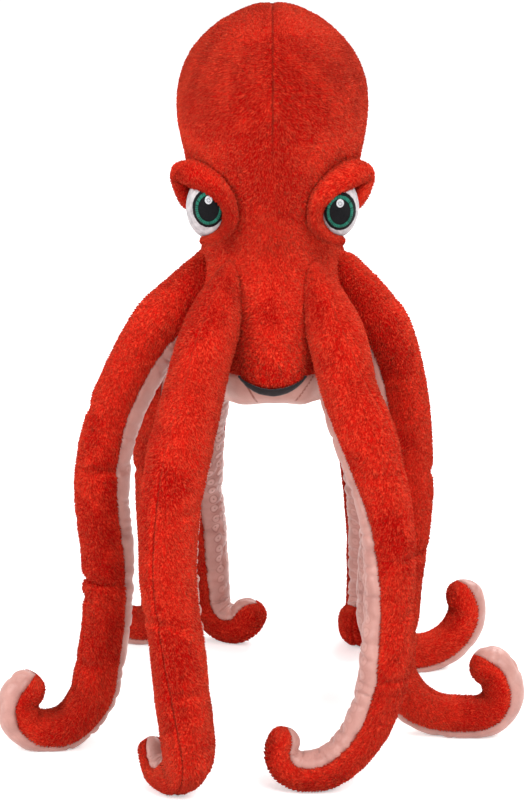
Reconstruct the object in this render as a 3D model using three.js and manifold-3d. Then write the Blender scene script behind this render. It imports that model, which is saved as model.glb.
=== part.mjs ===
// Plush octopus standing on eight posable arms
// Millimetres, +Z up, the face looks along -Y, left and right are as seen from the front.
// The origin lies on the floor under the middle of the footprint.

import * as THREE from 'three';
import { mergeVertices } from 'three/addons/utils/BufferGeometryUtils.js';
import Module from 'manifold-3d';

const wasm = await Module();
wasm.setup();

// Overall sizes
const standingHeight = 400;
const headHeight = 128;
const headWidth = 102;
const neckWidth = 74;
const bodyWidth = 92;
const bellyDrop = 82;
const hemDrop = 66;
const bibBulge = 13;
const bibHalfAngle = 42;
const bibFadeShare = 0.8;

// Cloth, stuffing and clearances
const clothThickness = 2;
const seamGap = 0.3;
const fillingGap = 0.6;
const swingGap = 0.3;
const overrun = 5;

// Shoulders
const hipDrop = 36.5;
const hipRadius = 54;
const sleeveRootRadius = 36;
const sleeveRootRise = 11;
const armWidth = 31;
const ballSwell = 1.7;
const inwardSwing = 5;
const armpitGap = 1.2;

// Arms
const legReach = 100;
const bendRadius = 13;
const footFlat = 0.5;
const wireWidth = 3;
const wireGap = 0.3;

// Neck joint, a shallow ball in a cup
const neckPivotRise = 13;

// Hub of the inner armature
const hubDrop = 46;
const hubWidth = 18;
const hornWidth = 4.4;
const hornEndShare = 1.1;

// Eyes
const eyeWidth = 23;
const eyeDepth = 26;
const eyeHeight = 30;
const eyeSpacing = 67.4;
const eyeSetback = 29;
const eyeRise = 25;
const irisWidth = 15.8;
const irisHeight = 19.5;
const ringWidth = 13.6;
const ringHeight = 17.2;
const pupilWidth = 9.4;
const pupilHeight = 12.2;
const glintWidth = 4.2;
const glintRise = 3.7;
const threadThickness = 0.5;
const threadGap = 0.5;

// Mouth
const mouthHeight = 4;
const mouthThickness = 1;
const mouthHalfAngle = 17;
const mouthEndShare = 0.12;

// Levels that follow from the sizes above
const neckHeight = standingHeight - headHeight;
const hipHeight = neckHeight - hipDrop;
const hemHeight = neckHeight - hemDrop;
const bellyHeight = neckHeight - bellyDrop;
const armRadius = armWidth / 2;
const ballRadius = armRadius + ballSwell;
const neckRadius = neckWidth / 2;
const collarRadius = neckRadius + clothThickness / 2;
const neckPivotHeight = neckHeight + neckPivotRise;
const neckBallRadius = Math.hypot(neckRadius, neckPivotRise) - swingGap;

// How finely round things are divided
const headSides = 20;
const bodySides = 20;
const socketSides = 10;
const liningSocketSides = 8;
const hornSides = 4;
const sleeveLiningSides = 5;
const fillingSides = 6;
const wireSides = 4;
const eyeSides = 14;
const eyeRows = 9;
const glintSides = 8;
const browSides = 6;
const browSteps = 14;
const panelSteps = 3;
const legSteps = 5;
const standingPasses = 6;
const mouthSteps = 8;

// Head outline above the neck, each point a share of half the width and of the height
const headOutlineShares = [
  [0.785, 0.1], [0.85, 0.22], [0.905, 0.335], [0.97, 0.45], [1, 0.57],
  [0.965, 0.69], [0.85, 0.795], [0.655, 0.883], [0.43, 0.945], [0.2, 0.985],
];

// Body outline from belly to below the collar, each point a share of half the width and of the height
const bodyOutlineShares = [
  [0.34, 0], [0.7, 0.025], [0.89, 0.09], [0.98, 0.195], [1, 0.34], [0.99, 0.55], [0.93, 0.78],
];

// Widths along an arm as shares of its width: shoulder, half way, ankle, half curl, tip
const fullTaperShares = [1, 0.94, 0.82, 0.77, 0.72];
const slimTaperShares = [1, 0.93, 0.86, 0.68, 0.54];

// Sections of the shoulder ball along the arm, as shares of the ball's radius from its centre,
// and of the rounded tip, as shares of the last radius along and across the arm
const ballSectionShares = [-0.78, -0.42, 0.05, 0.42];
const legStartShare = 0.07;
const tipSectionShares = [[0.55, 0.83], [0.92, 0.38]];

// Radial places of the thread patches on an eye, from the hole or middle to the rim
const patchShares = [0, 0.55, 1];

// The arms. Legs go right, back and down by shares of the leg reach and of the drop to the
// ankle. Curls are [length or bend share of the bend radius, turn in degrees], and a turn of
// zero is a straight run. Facing is where the red side looks at the shoulder, half way down
// and at the foot, in degrees from the front. An outward curl hides the red side, an inward
// one hides the pale side.
const arms = [
  {
    name: 'front_left_arm', hip: -32, facing: [-15, -24, 32], outward: false, taperShares: slimTaperShares,
    legShares: [[-0.06, -0.08, 0.06], [-0.12, -0.17, 0.16], [-0.19, -0.28, 0.26], [-0.23, -0.41, 0.41],
      [-0.22, -0.52, 0.58], [-0.2, -0.61, 0.74], [-0.165, -0.69, 1]],
    curlShares: [[1.25, 40], [0.95, 120]],
  },
  {
    name: 'front_right_arm', hip: 32, facing: [8, 66, 88], outward: false, taperShares: slimTaperShares,
    legShares: [[0.06, -0.08, 0.08], [0.11, -0.16, 0.19], [0.19, -0.25, 0.3], [0.25, -0.33, 0.42],
      [0.3, -0.42, 0.56], [0.32, -0.5, 0.75], [0.31, -0.58, 1]],
    curlShares: [[6.8, 30], [2.8, 60], [0.9, 115]],
  },
  {
    name: 'left_arm', hip: -76, facing: [-70, -80, -84], outward: true, taperShares: fullTaperShares,
    legShares: [[-0.07, -0.01, 0.04], [-0.2, -0.04, 0.14], [-0.3, -0.07, 0.25], [-0.37, -0.11, 0.37],
      [-0.4, -0.15, 0.5], [-0.38, -0.19, 0.67], [-0.38, -0.23, 0.84], [-0.43, -0.27, 1]],
    curlShares: [[3, 40], [1.8, 60], [1.1, 125]],
  },
  {
    name: 'right_arm', hip: 76, facing: [70, 80, 86], outward: true, taperShares: fullTaperShares,
    legShares: [[0.06, -0.01, 0.04], [0.13, -0.02, 0.12], [0.17, -0.04, 0.24], [0.2, -0.05, 0.42],
      [0.2, -0.06, 0.58], [0.16, -0.07, 0.76], [0.14, -0.08, 1]],
    curlShares: [[2.5, 90], [1.1, 0], [1.05, 95], [1.25, 0]],
  },
  {
    name: 'rear_left_arm', hip: -118, facing: [-118, -114, -100], outward: true, taperShares: fullTaperShares,
    legShares: [[-0.06, 0.1, 0.07], [-0.12, 0.25, 0.17], [-0.18, 0.45, 0.34], [-0.22, 0.65, 0.53],
      [-0.24, 0.83, 0.72], [-0.24, 1.01, 1]],
    curlShares: [[1.15, 80], [1.8, 75]],
  },
  {
    name: 'rear_right_arm', hip: 118, facing: [118, 112, 96], outward: true, taperShares: fullTaperShares,
    legShares: [[0.05, 0.08, 0.08], [0.12, 0.17, 0.18], [0.15, 0.29, 0.36], [0.14, 0.39, 0.56],
      [0.11, 0.48, 0.78], [0.11, 0.54, 1]],
    curlShares: [[2, 90], [2.5, 72], [1.1, 50]],
  },
  {
    name: 'back_left_arm', hip: -159, facing: [-159, -150, -118], outward: false, taperShares: fullTaperShares,
    legShares: [[-0.05, 0.08, 0.07], [-0.11, 0.22, 0.16], [-0.17, 0.4, 0.32], [-0.2, 0.59, 0.51],
      [-0.18, 0.74, 0.7], [-0.15, 0.86, 1]],
    curlShares: [[1.4, 60], [1, 95]],
  },
  {
    name: 'back_right_arm', hip: 159, facing: [159, 162, 162], outward: false, taperShares: fullTaperShares,
    legShares: [[0.05, 0.1, 0.07], [0.15, 0.26, 0.16], [0.26, 0.47, 0.34], [0.34, 0.66, 0.54],
      [0.38, 0.8, 0.75], [0.39, 0.9, 1]],
    curlShares: [[1.4, 60], [1, 100]],
  },
];

// Brow roll of the left eye: right, forward and up from the eye's middle, and the roll's
// radius, all as shares of half the eye's height
const browShares = [
  [-0.72, -0.46, -0.02, 0.2], [-0.86, -0.62, 0.36, 0.29], [-0.98, -0.78, 0.78, 0.36], [-0.99, -0.66, 1.08, 0.39],
  [-0.74, -0.26, 1.22, 0.46], [-0.3, 0.2, 1.16, 0.52], [0.26, 0.5, 0.82, 0.45], [0.6, 0.64, 0.42, 0.37],
  [0.76, 0.62, 0, 0.3], [0.74, 0.5, -0.42, 0.26], [0.5, 0.34, -0.8, 0.22], [0.12, 0.2, -1.04, 0.19],
  [-0.14, 0.08, -1.12, 0.13],
];

// Materials
const redPlush = { color: 0xbb1c12, roughness: 0.95, metalness: 0 };
const paleSatin = { color: 0xc69a90, roughness: 0.7, metalness: 0 };
const whiteStuffing = { color: 0xe9e6df, roughness: 1, metalness: 0 };
const blackFelt = { color: 0x231b1c, roughness: 0.95, metalness: 0 };
const whiteCloth = { color: 0xd6d0d0, roughness: 0.8, metalness: 0 };
const blackThread = { color: 0x141417, roughness: 0.6, metalness: 0 };
const greenThread = { color: 0x1f6f63, roughness: 0.55, metalness: 0 };
const whiteThread = { color: 0xf0f0f2, roughness: 0.5, metalness: 0 };
const coatedWire = { color: 0x3c3f42, roughness: 0.5, metalness: 0.4 };
const hubPlastic = { color: 0x2c2e31, roughness: 0.6, metalness: 0 };

const octopus = new THREE.Group();

const radians = THREE.MathUtils.degToRad;
const outwards = (degrees) => new THREE.Vector3(Math.sin(radians(degrees)), -Math.cos(radians(degrees)), 0);
const sideways = (degrees) => new THREE.Vector3(Math.cos(radians(degrees)), Math.sin(radians(degrees)), 0);
const upwards = new THREE.Vector3(0, 0, 1);

// Solids from points and triangles, from library shapes, and back to meshes

function solidFrom(points, triangles) {
  const vertProperties = new Float32Array(points.flatMap((p) => [p.x, p.y, p.z]));
  const triVerts = new Uint32Array(triangles.flat());
  return new wasm.Manifold(new wasm.Mesh({ numProp: 3, vertProperties, triVerts }));
}

function solidOf(geometry) {
  geometry.deleteAttribute('normal');
  geometry.deleteAttribute('uv');
  const merged = mergeVertices(geometry);
  const vertProperties = new Float32Array(merged.attributes.position.array);
  const triVerts = new Uint32Array(merged.index.array);
  return new wasm.Manifold(new wasm.Mesh({ numProp: 3, vertProperties, triVerts }));
}

function sphereAt(centre, radius, sides) {
  const geometry = new THREE.SphereGeometry(radius, sides, sides / 2 + 2);
  geometry.rotateX(Math.PI / 2);
  geometry.translate(centre.x, centre.y, centre.z);
  return solidOf(geometry);
}

// A faceted ball that a round thing of the given radius still fits inside
function sphereRound(centre, radius, sides) {
  const flatness = Math.cos(Math.PI / sides) * Math.cos(Math.PI / (sides + 4));
  return sphereAt(centre, radius / flatness, sides);
}

function blockBetween(low, high) {
  const size = high.clone().sub(low);
  const geometry = new THREE.BoxGeometry(size.x, size.y, size.z);
  const middle = low.clone().add(high).multiplyScalar(0.5);
  geometry.translate(middle.x, middle.y, middle.z);
  return solidOf(geometry);
}

function addMesh(name, solid, finish) {
  const { vertProperties, triVerts } = solid.getMesh();
  const geometry = new THREE.BufferGeometry();
  geometry.setAttribute('position', new THREE.BufferAttribute(vertProperties, 3));
  geometry.setIndex(new THREE.BufferAttribute(triVerts, 1));
  geometry.computeVertexNormals();
  const mesh = new THREE.Mesh(geometry, new THREE.MeshStandardMaterial(finish));
  mesh.name = name;
  octopus.add(mesh);
}

// A solid through round sections, each a closed ring of as many points
function loft(rings) {
  const sides = rings[0].length;
  const points = rings.flat();
  const triangles = [];
  for (let ring = 0; ring < rings.length - 1; ring += 1) {
    for (let side = 0; side < sides; side += 1) {
      const a = ring * sides + side;
      const b = ring * sides + ((side + 1) % sides);
      triangles.push([a, b, b + sides], [a, b + sides, a + sides]);
    }
  }
  const last = (rings.length - 1) * sides;
  for (let side = 1; side < sides - 1; side += 1) {
    triangles.push([0, side + 1, side], [last, last + side, last + side + 1]);
  }
  return solidFrom(points, triangles);
}

// A bent sheet between an outer and an inner run of points in each section. Its inner face is
// split along the same diagonals as the outer face of what lies inside it.
function sheetLoft(outerRows, innerRows) {
  const across = outerRows[0].length;
  const rows = outerRows.map((row, index) => [...row, ...[...innerRows[index]].reverse()]);
  const around = across * 2;
  const points = rows.flat();
  const triangles = [];
  for (let row = 0; row < rows.length - 1; row += 1) {
    for (let side = 0; side < around; side += 1) {
      const a = row * around + side;
      const b = row * around + ((side + 1) % around);
      const outerSide = side < across;
      triangles.push(outerSide ? [a, b, b + around] : [a, b, a + around]);
      triangles.push(outerSide ? [a, b + around, a + around] : [b, b + around, a + around]);
    }
  }
  const last = (rows.length - 1) * around;
  for (let side = 0; side < across - 1; side += 1) {
    const far = around - 1 - side;
    triangles.push([0 + side, far, far - 1], [side, far - 1, side + 1]);
    triangles.push([last + side, last + far - 1, last + far], [last + side, last + side + 1, last + far - 1]);
  }
  return solidFrom(points, triangles);
}

// Inset of a round outline, square to its surface: [radius, height] pairs in and out
function insetOutline(outline, inset) {
  return outline.map(([radius, height], index) => {
    const before = outline[Math.max(index - 1, 0)];
    const after = outline[Math.min(index + 1, outline.length - 1)];
    const run = Math.hypot(after[0] - before[0], after[1] - before[1]);
    const outX = (after[1] - before[1]) / run;
    const outZ = (before[0] - after[0]) / run;
    return [radius - inset * outX, height - inset * outZ];
  });
}

// Head

const headRadius = headWidth / 2;
const headOutline = [
  [neckRadius, neckHeight],
  ...headOutlineShares.map(([wide, high]) => [wide * headRadius, neckHeight + high * headHeight]),
];

// The head inset all round, with a straight foot under the neck line where one is asked for
function headSolid(inset, footDepth = 0) {
  const [[base], ...outline] = insetOutline(headOutline, inset);
  const profile = [new THREE.Vector2(0, neckHeight - footDepth), new THREE.Vector2(base, neckHeight - footDepth)];
  if (footDepth > 0) {
    profile.push(new THREE.Vector2(base, neckHeight));
  }
  outline.forEach(([radius, height]) => profile.push(new THREE.Vector2(radius, height)));
  profile.push(new THREE.Vector2(0, standingHeight - inset));
  const geometry = new THREE.LatheGeometry(profile, headSides);
  geometry.rotateX(Math.PI / 2);
  return solidOf(geometry);
}

// The ball on which the head nods, below the neck line only
const neckPivot = new THREE.Vector3(0, 0, neckPivotHeight);
const far = standingHeight;
const aboveNeck = blockBetween(
  new THREE.Vector3(-far, -far, neckHeight + seamGap),
  new THREE.Vector3(far, far, far + overrun),
);
const belowNeck = blockBetween(
  new THREE.Vector3(-far, -far, -far),
  new THREE.Vector3(far, far, neckHeight),
);
const neckBall = sphereAt(neckPivot, neckBallRadius, headSides);
const neckCup = sphereRound(neckPivot, neckBallRadius + swingGap, bodySides);

const mantleShell = headSolid(0).subtract(headSolid(clothThickness)).intersect(aboveNeck);
const stuffingInset = clothThickness + seamGap;
const headStuffing = headSolid(stuffingInset, clothThickness).add(neckBall.intersect(belowNeck));

function halfSpace(side) {
  const near = seamGap / 2;
  const low = new THREE.Vector3(side < 0 ? -far : near, -far, -far);
  const high = new THREE.Vector3(side < 0 ? -near : far, far, far + overrun);
  return blockBetween(low, high);
}

addMesh('mantle_left', mantleShell.intersect(halfSpace(-1)), redPlush);
addMesh('mantle_right', mantleShell.intersect(halfSpace(1)), redPlush);
addMesh('head_filling', headStuffing, whiteStuffing);

// Eyes and their brow rolls

const headKeepOut = headSolid(-seamGap);

function eyeBody(side, grow) {
  const geometry = new THREE.SphereGeometry(1, eyeSides, eyeRows);
  geometry.scale(eyeWidth / 2 + grow, eyeDepth / 2 + grow, eyeHeight / 2 + grow);
  geometry.translate(side * eyeSpacing / 2, -eyeSetback, neckHeight + eyeRise);
  return solidOf(geometry);
}

// A patch of thread on the eye's front, a ring where its hole has a width
function threadPatch(side, layer, size, hole, rise, around) {
  const lift = threadGap + layer * (threadGap + threadThickness);
  const place = (turn, wide, high, out) => {
    const x = Math.cos(turn) * wide / 2;
    const z = Math.sin(turn) * high / 2 + rise;
    const bulge = Math.sqrt(1 - (2 * x / eyeWidth) ** 2 - (2 * z / eyeHeight) ** 2);
    return new THREE.Vector3(
      side * eyeSpacing / 2 + x,
      -eyeSetback - bulge * eyeDepth / 2 - lift - out,
      neckHeight + eyeRise + z,
    );
  };
  const across = (axis, span) => THREE.MathUtils.lerp(hole[axis], size[axis], span);
  const sections = [];
  for (let step = 0; step < around; step += 1) {
    const turn = (step / around) * Math.PI * 2;
    const front = patchShares.map((span) => place(turn, across(0, span), across(1, span), threadThickness));
    const back = patchShares.map((span) => place(turn, across(0, span), across(1, span), 0));
    sections.push([...front, ...back.reverse()]);
  }
  return hole[0] > 0 ? ringSolid(sections) : discSolid(sections);
}

// A ring of like sections joined end to end
function ringSolid(sections) {
  const corners = sections[0].length;
  const triangles = [];
  sections.forEach((section, index) => {
    const next = ((index + 1) % sections.length) * corners;
    for (let corner = 0; corner < corners; corner += 1) {
      const a = index * corners + corner;
      const b = index * corners + ((corner + 1) % corners);
      const c = next + ((corner + 1) % corners);
      const d = next + corner;
      triangles.push([a, b, c], [a, c, d]);
    }
  });
  return solidFrom(sections.flat(), triangles);
}

// A disc of like sections that share their first and last point
function discSolid(sections) {
  const corners = sections[0].length - 2;
  const points = [sections[0][0], sections[0][corners + 1]];
  sections.forEach((section) => points.push(...section.slice(1, -1)));
  const triangles = [];
  sections.forEach((section, index) => {
    const here = 2 + index * corners;
    const next = 2 + ((index + 1) % sections.length) * corners;
    triangles.push([0, here, next], [1, next + corners - 1, here + corners - 1]);
    for (let corner = 0; corner < corners - 1; corner += 1) {
      triangles.push([here + corner, here + corner + 1, next + corner + 1]);
      triangles.push([here + corner, next + corner + 1, next + corner]);
    }
  });
  return solidFrom(points, triangles);
}

function browRoll(side, grow) {
  const unit = eyeHeight / 2;
  const middle = new THREE.Vector3(side * eyeSpacing / 2, -eyeSetback, neckHeight + eyeRise);
  const path = browShares.map(([right, forward, up]) => new THREE.Vector3(
    middle.x - side * right * unit, middle.y - forward * unit, middle.z + up * unit,
  ));
  const curve = new THREE.CatmullRomCurve3(path);
  const rings = [];
  for (let step = 0; step <= browSteps; step += 1) {
    const at = step / browSteps;
    const centre = curve.getPoint(at);
    const tangent = curve.getTangent(at);
    const across = new THREE.Vector3().crossVectors(tangent, outwards(side * 40)).normalize();
    const out = new THREE.Vector3().crossVectors(tangent, across);
    const place = at * (browShares.length - 1);
    const from = Math.min(Math.floor(place), browShares.length - 2);
    const share = THREE.MathUtils.lerp(browShares[from][3], browShares[from + 1][3], place - from);
    const radius = unit * share + grow;
    rings.push(roundSection({ centre, red: across, side: out }, radius, browSides));
  }
  return loft(rings);
}

for (const [side, word] of [[-1, 'left'], [1, 'right']]) {
  const none = [0, 0];
  const pupil = [pupilWidth, pupilHeight];
  const brow = browRoll(side, 0).subtract(headKeepOut).subtract(eyeBody(side, seamGap));
  const underBrow = browRoll(side, seamGap);
  const eyeBall = eyeBody(side, 0).subtract(headKeepOut);
  const outline = threadPatch(side, 0, [irisWidth, irisHeight], none, 0, eyeSides).subtract(underBrow);
  const ring = threadPatch(side, 1, [ringWidth, ringHeight], pupil, 0, eyeSides).subtract(underBrow);
  const glint = threadPatch(side, 1, [glintWidth, glintWidth], none, glintRise, glintSides).subtract(underBrow);
  addMesh(`${word}_eye_ball`, eyeBall, whiteCloth);
  addMesh(`${word}_iris_outline`, outline, blackThread);
  addMesh(`${word}_iris_ring`, ring, greenThread);
  addMesh(`${word}_eye_glint`, glint, whiteThread);
  addMesh(`${word}_brow`, brow, redPlush);
}

// Arm paths and sections

function armPath(arm, ankleHeight) {
  const hip = outwards(arm.hip).multiplyScalar(hipRadius).setZ(hipHeight);
  const root = outwards(arm.hip).multiplyScalar(sleeveRootRadius).setZ(hipHeight + sleeveRootRise);
  const curl = curlPoints(arm);
  const drop = hipHeight - ankleHeight;
  const leg = arm.legShares.map(([right, back, down]) => new THREE.Vector3(
    hip.x + right * legReach, hip.y + back * legReach, hip.z - down * drop,
  ));
  const ankle = leg[leg.length - 1];
  const points = [root, hip, ...leg, ...curl.map((place) => place.clone().add(ankle))];
  return { hip, points, legCount: leg.length, curlCount: curl.length };
}

// Places along the curl, from the ankle at zero, every 20 degrees or every arm's half width
function curlPoints(arm) {
  const foot = arm.facing[2];
  const toward = outwards(foot).multiplyScalar(arm.outward ? 1 : -1);
  const place = new THREE.Vector3();
  const places = [];
  let turned = 0;
  for (const [lengthShare, turn] of arm.curlShares) {
    const length = lengthShare * bendRadius;
    const run = turn > 0 ? length * radians(turn) : length;
    const steps = Math.max(1, Math.round(turn / 20), Math.round(run / armRadius));
    for (let step = 1; step <= steps; step += 1) {
      const from = radians(turned);
      turned += turn / steps;
      const to = radians(turned);
      const along = turn > 0 ? length * (Math.cos(from) - Math.cos(to)) : (length / steps) * Math.sin(to);
      const down = turn > 0 ? length * (Math.sin(to) - Math.sin(from)) : (length / steps) * Math.cos(to);
      place.addScaledVector(toward, along).addScaledVector(upwards, -down);
      places.push(place.clone());
    }
  }
  return places;
}

// Width share at a place from 0 at the shoulder through 1 at the ankle to 2 at the tip
function taperAt(arm, place) {
  const scaled = THREE.MathUtils.clamp(place, 0, 2) * 2;
  const from = Math.min(Math.floor(scaled), 3);
  return THREE.MathUtils.lerp(arm.taperShares[from], arm.taperShares[from + 1], scaled - from);
}

function facingAt(arm, place) {
  const [shoulder, half, foot] = arm.facing;
  const leg = THREE.MathUtils.clamp(place, 0, 1);
  const ease = (share) => share * share * (3 - 2 * share);
  return leg < 0.5
    ? THREE.MathUtils.lerp(shoulder, half, ease(leg * 2))
    : THREE.MathUtils.lerp(half, foot, ease(leg * 2 - 1));
}

// Stations along an arm: centre, radius, red side and side direction
function armStations(arm, ankleHeight) {
  const { hip, points, legCount, curlCount } = armPath(arm, ankleHeight);
  const curve = new THREE.CatmullRomCurve3(points, false, 'centripetal');
  const pieces = points.length - 1;
  const hipAt = 1 / pieces;
  const ankleAt = (1 + legCount) / pieces;
  const axis = curve.getTangent(hipAt);
  const station = (centre, tangent, radius, place) => {
    const side = sideways(facingAt(arm, place));
    side.addScaledVector(tangent, -side.dot(tangent)).normalize();
    const red = new THREE.Vector3().crossVectors(tangent, side);
    return { centre, tangent, radius, red, side: side.negate() };
  };
  const stations = ballSectionShares.map((share) => {
    const centre = hip.clone().addScaledVector(axis, share * ballRadius);
    return station(centre, axis, ballRadius * Math.sqrt(1 - share * share), 0);
  });
  for (let step = 1; step <= legSteps; step += 1) {
    const place = step / legSteps;
    const at = THREE.MathUtils.lerp(hipAt, ankleAt, THREE.MathUtils.lerp(legStartShare, 1, place));
    stations.push(station(curve.getPoint(at), curve.getTangent(at), armRadius * taperAt(arm, place), place));
  }
  const curlSteps = Math.round(curlCount / 2);
  for (let step = 1; step <= curlSteps; step += 1) {
    const place = 1 + step / curlSteps;
    const at = THREE.MathUtils.lerp(ankleAt, 1, step / curlSteps);
    stations.push(station(curve.getPoint(at), curve.getTangent(at), armRadius * taperAt(arm, place), place));
  }
  const tip = stations[stations.length - 1];
  for (const [along, wide] of tipSectionShares) {
    const centre = tip.centre.clone().addScaledVector(tip.tangent, along * tip.radius);
    stations.push(station(centre, tip.tangent, wide * tip.radius, 2));
  }
  return { hip, axis, stations };
}

function pointOn(station, radius, turn) {
  return station.centre.clone()
    .addScaledVector(station.red, Math.cos(turn) * radius)
    .addScaledVector(station.side, Math.sin(turn) * radius);
}

function roundSection(station, radius, sides) {
  const turns = Array.from({ length: sides }, (_, index) => (index / sides) * Math.PI * 2);
  return turns.map((turn) => pointOn(station, radius, turn));
}

// The arm let down until its foot's lowest corner lies a flat's depth under the floor
function standingArm(arm) {
  let ankleHeight = armRadius;
  for (let pass = 0; pass < standingPasses; pass += 1) {
    const corners = armStations(arm, ankleHeight).stations.flatMap((at) => roundSection(at, at.radius, panelSteps * 3));
    ankleHeight -= Math.min(...corners.map((corner) => corner.z)) + footFlat;
  }
  return { arm, ...armStations(arm, ankleHeight) };
}

// One of the three cloth panels round an arm, counted from the seam on the red side
function armPanel(stations, panel) {
  const wide = (Math.PI * 2) / 3;
  const rowAt = (station, radius) => {
    const trim = Math.asin(seamGap / 2 / radius);
    const row = [];
    for (let step = 0; step <= panelSteps; step += 1) {
      const corner = (panel + step / panelSteps) * wide;
      const turn = step === 0 ? corner + trim : step === panelSteps ? corner - trim : corner;
      row.push(pointOn(station, radius, turn));
    }
    return row;
  };
  const outer = stations.map((station) => rowAt(station, station.radius));
  const inner = stations.map((station) => rowAt(station, station.radius - clothThickness));
  return sheetLoft(outer, inner);
}

const underFloor = blockBetween(
  new THREE.Vector3(-far, -far, -far),
  new THREE.Vector3(far, far, 0),
);

const armParts = arms.map(standingArm);

for (const { arm, stations } of armParts) {
  const panels = [['skin_left', 0, redPlush], ['underside', 1, paleSatin], ['skin_right', 2, redPlush]];
  for (const [word, panel, finish] of panels) {
    addMesh(`${arm.name}_${word}`, armPanel(stations, panel).subtract(underFloor), finish);
  }
  const stuffed = stations.slice(0, -1);
  const roundness = Math.cos(Math.PI / (panelSteps * 3));
  const core = loft(stuffed.map((at) => roundSection(
    at, (at.radius - clothThickness - fillingGap) * roundness, fillingSides,
  )));
  const wireRadius = wireWidth / 2;
  const channelEnd = stations.slice(1, -2);
  const entry = { ...stations[0], centre: stations[0].centre.clone().addScaledVector(stations[0].tangent, -overrun) };
  const channel = loft([entry, ...channelEnd].map((at) => roundSection(at, wireRadius + wireGap, wireSides)));
  const wireStart = stations[0].centre.clone().addScaledVector(stations[0].tangent, wireGap);
  const wireEnd = stations[stations.length - 3].centre.clone()
    .addScaledVector(stations[stations.length - 3].tangent, -wireGap);
  const wireStations = [
    { ...stations[0], centre: wireStart },
    ...stations.slice(1, -3),
    { ...stations[stations.length - 3], centre: wireEnd },
  ];
  const wire = loft(wireStations.map((at) => roundSection(at, wireRadius, wireSides)));
  addMesh(`${arm.name}_filling`, core.subtract(channel), whiteStuffing);
  addMesh(`${arm.name}_wire`, wire, coatedWire);
}

// Body

const bodyRadius = bodyWidth / 2;
const bodyHeight = neckHeight - bellyHeight;

// Bulge of the front bib at an azimuth and a height share
function bibAt(degrees, high) {
  const near = Math.max(0, 1 - (degrees / bibHalfAngle) ** 2);
  const ease = near * near;
  const lower = THREE.MathUtils.clamp((1 - high) / bibFadeShare, 0, 1);
  return bibBulge * ease * lower;
}

const bodyOutline = [
  ...bodyOutlineShares.map(([wide, high]) => [wide * bodyRadius, bellyHeight + high * bodyHeight]),
  [collarRadius, neckHeight],
];

function bodyRing(inset, index) {
  const [radius, height] = insetOutline(bodyOutline, inset)[index];
  const [wide, level] = bodyOutline[index];
  const ring = [];
  for (let side = 0; side < bodySides; side += 1) {
    const degrees = (side / bodySides) * 360 - 180;
    const swell = bibAt(degrees, (level - bellyHeight) / bodyHeight) * wide / bodyRadius;
    ring.push(outwards(degrees).multiplyScalar(radius + swell).setZ(height));
  }
  return ring;
}

function bodySolid(inset) {
  const rings = bodyOutline.map((_, index) => bodyRing(inset, index));
  const top = rings[rings.length - 1];
  top.forEach((place) => place.setZ(neckHeight));
  return loft(rings);
}

// The short sleeve that each arm leaves the body through
function sleeveSolid({ hip, axis, arm }, inset, sides) {
  const root = outwards(arm.hip).multiplyScalar(sleeveRootRadius).setZ(hipHeight + sleeveRootRise);
  const radius = armRadius - inset;
  const { side, red } = armParts.find((part) => part.arm === arm).stations[0];
  const start = root.clone().addScaledVector(axis, -armRadius / 2);
  const rings = [start, hip].map((centre) => roundSection(
    { centre, side, red }, radius, sides,
  ));
  return loft(rings);
}

// What a swinging arm needs free: its ball, and its upper length at rest and swung inwards
function armRoom({ hip, stations, arm }, sides) {
  const inward = outwards(arm.hip).negate();
  const upperArm = stations.slice(3, 6).map((at) => {
    const reach = at.centre.distanceTo(hip) * Math.sin(radians(inwardSwing)) / 2;
    const centre = at.centre.clone().addScaledVector(inward, reach);
    return roundSection({ ...at, centre }, at.radius + armpitGap + reach, sides);
  });
  return sphereRound(hip, ballRadius + swingGap, sides).add(loft(upperArm));
}

function bodyWithSleeves(inset) {
  const sides = inset > 0 ? sleeveLiningSides : panelSteps * 3;
  return armParts.reduce((solid, part) => solid.add(sleeveSolid(part, inset, sides)), bodySolid(inset));
}

function clearOfMovers(solid, sides) {
  const belowCup = solid.subtract(neckCup);
  return armParts.reduce((rest, part) => rest.subtract(armRoom(part, sides)), belowCup);
}

const aboveHem = blockBetween(
  new THREE.Vector3(-far, -far, hemHeight + seamGap / 2),
  new THREE.Vector3(far, far, far),
);
const belowHem = blockBetween(
  new THREE.Vector3(-far, -far, -far),
  new THREE.Vector3(far, far, hemHeight - seamGap / 2),
);

// Armature hub with a horn toward each shoulder
function hubSolid(grow, shorten) {
  const centre = new THREE.Vector3(0, 0, neckHeight - hubDrop);
  let hub = sphereAt(centre, hubWidth / 2 + grow, socketSides);
  for (const { hip } of armParts) {
    const direction = hip.clone().sub(centre);
    const length = direction.length() - shorten;
    direction.normalize();
    const geometry = new THREE.CylinderGeometry(hornWidth / 2 + grow, hornWidth / 2 + grow, length, hornSides);
    geometry.translate(0, length / 2, 0);
    geometry.applyQuaternion(new THREE.Quaternion().setFromUnitVectors(new THREE.Vector3(0, 1, 0), direction));
    geometry.translate(centre.x, centre.y, centre.z);
    hub = hub.add(solidOf(geometry));
  }
  return hub;
}

const bodyShell = clearOfMovers(bodyWithSleeves(0).subtract(bodyWithSleeves(clothThickness)), socketSides);
const hornShort = (ballRadius + swingGap) * hornEndShare;
const bodyStuffing = clearOfMovers(bodyWithSleeves(stuffingInset), liningSocketSides).subtract(hubSolid(seamGap, 0));

addMesh('body_skin', bodyShell.intersect(aboveHem), redPlush);
addMesh('belly', bodyShell.intersect(belowHem), paleSatin);
addMesh('body_filling', bodyStuffing, whiteStuffing);
addMesh('armature_hub', hubSolid(0, hornShort), hubPlastic);

// Mouth, a felt crescent under the bib's hem

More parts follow.
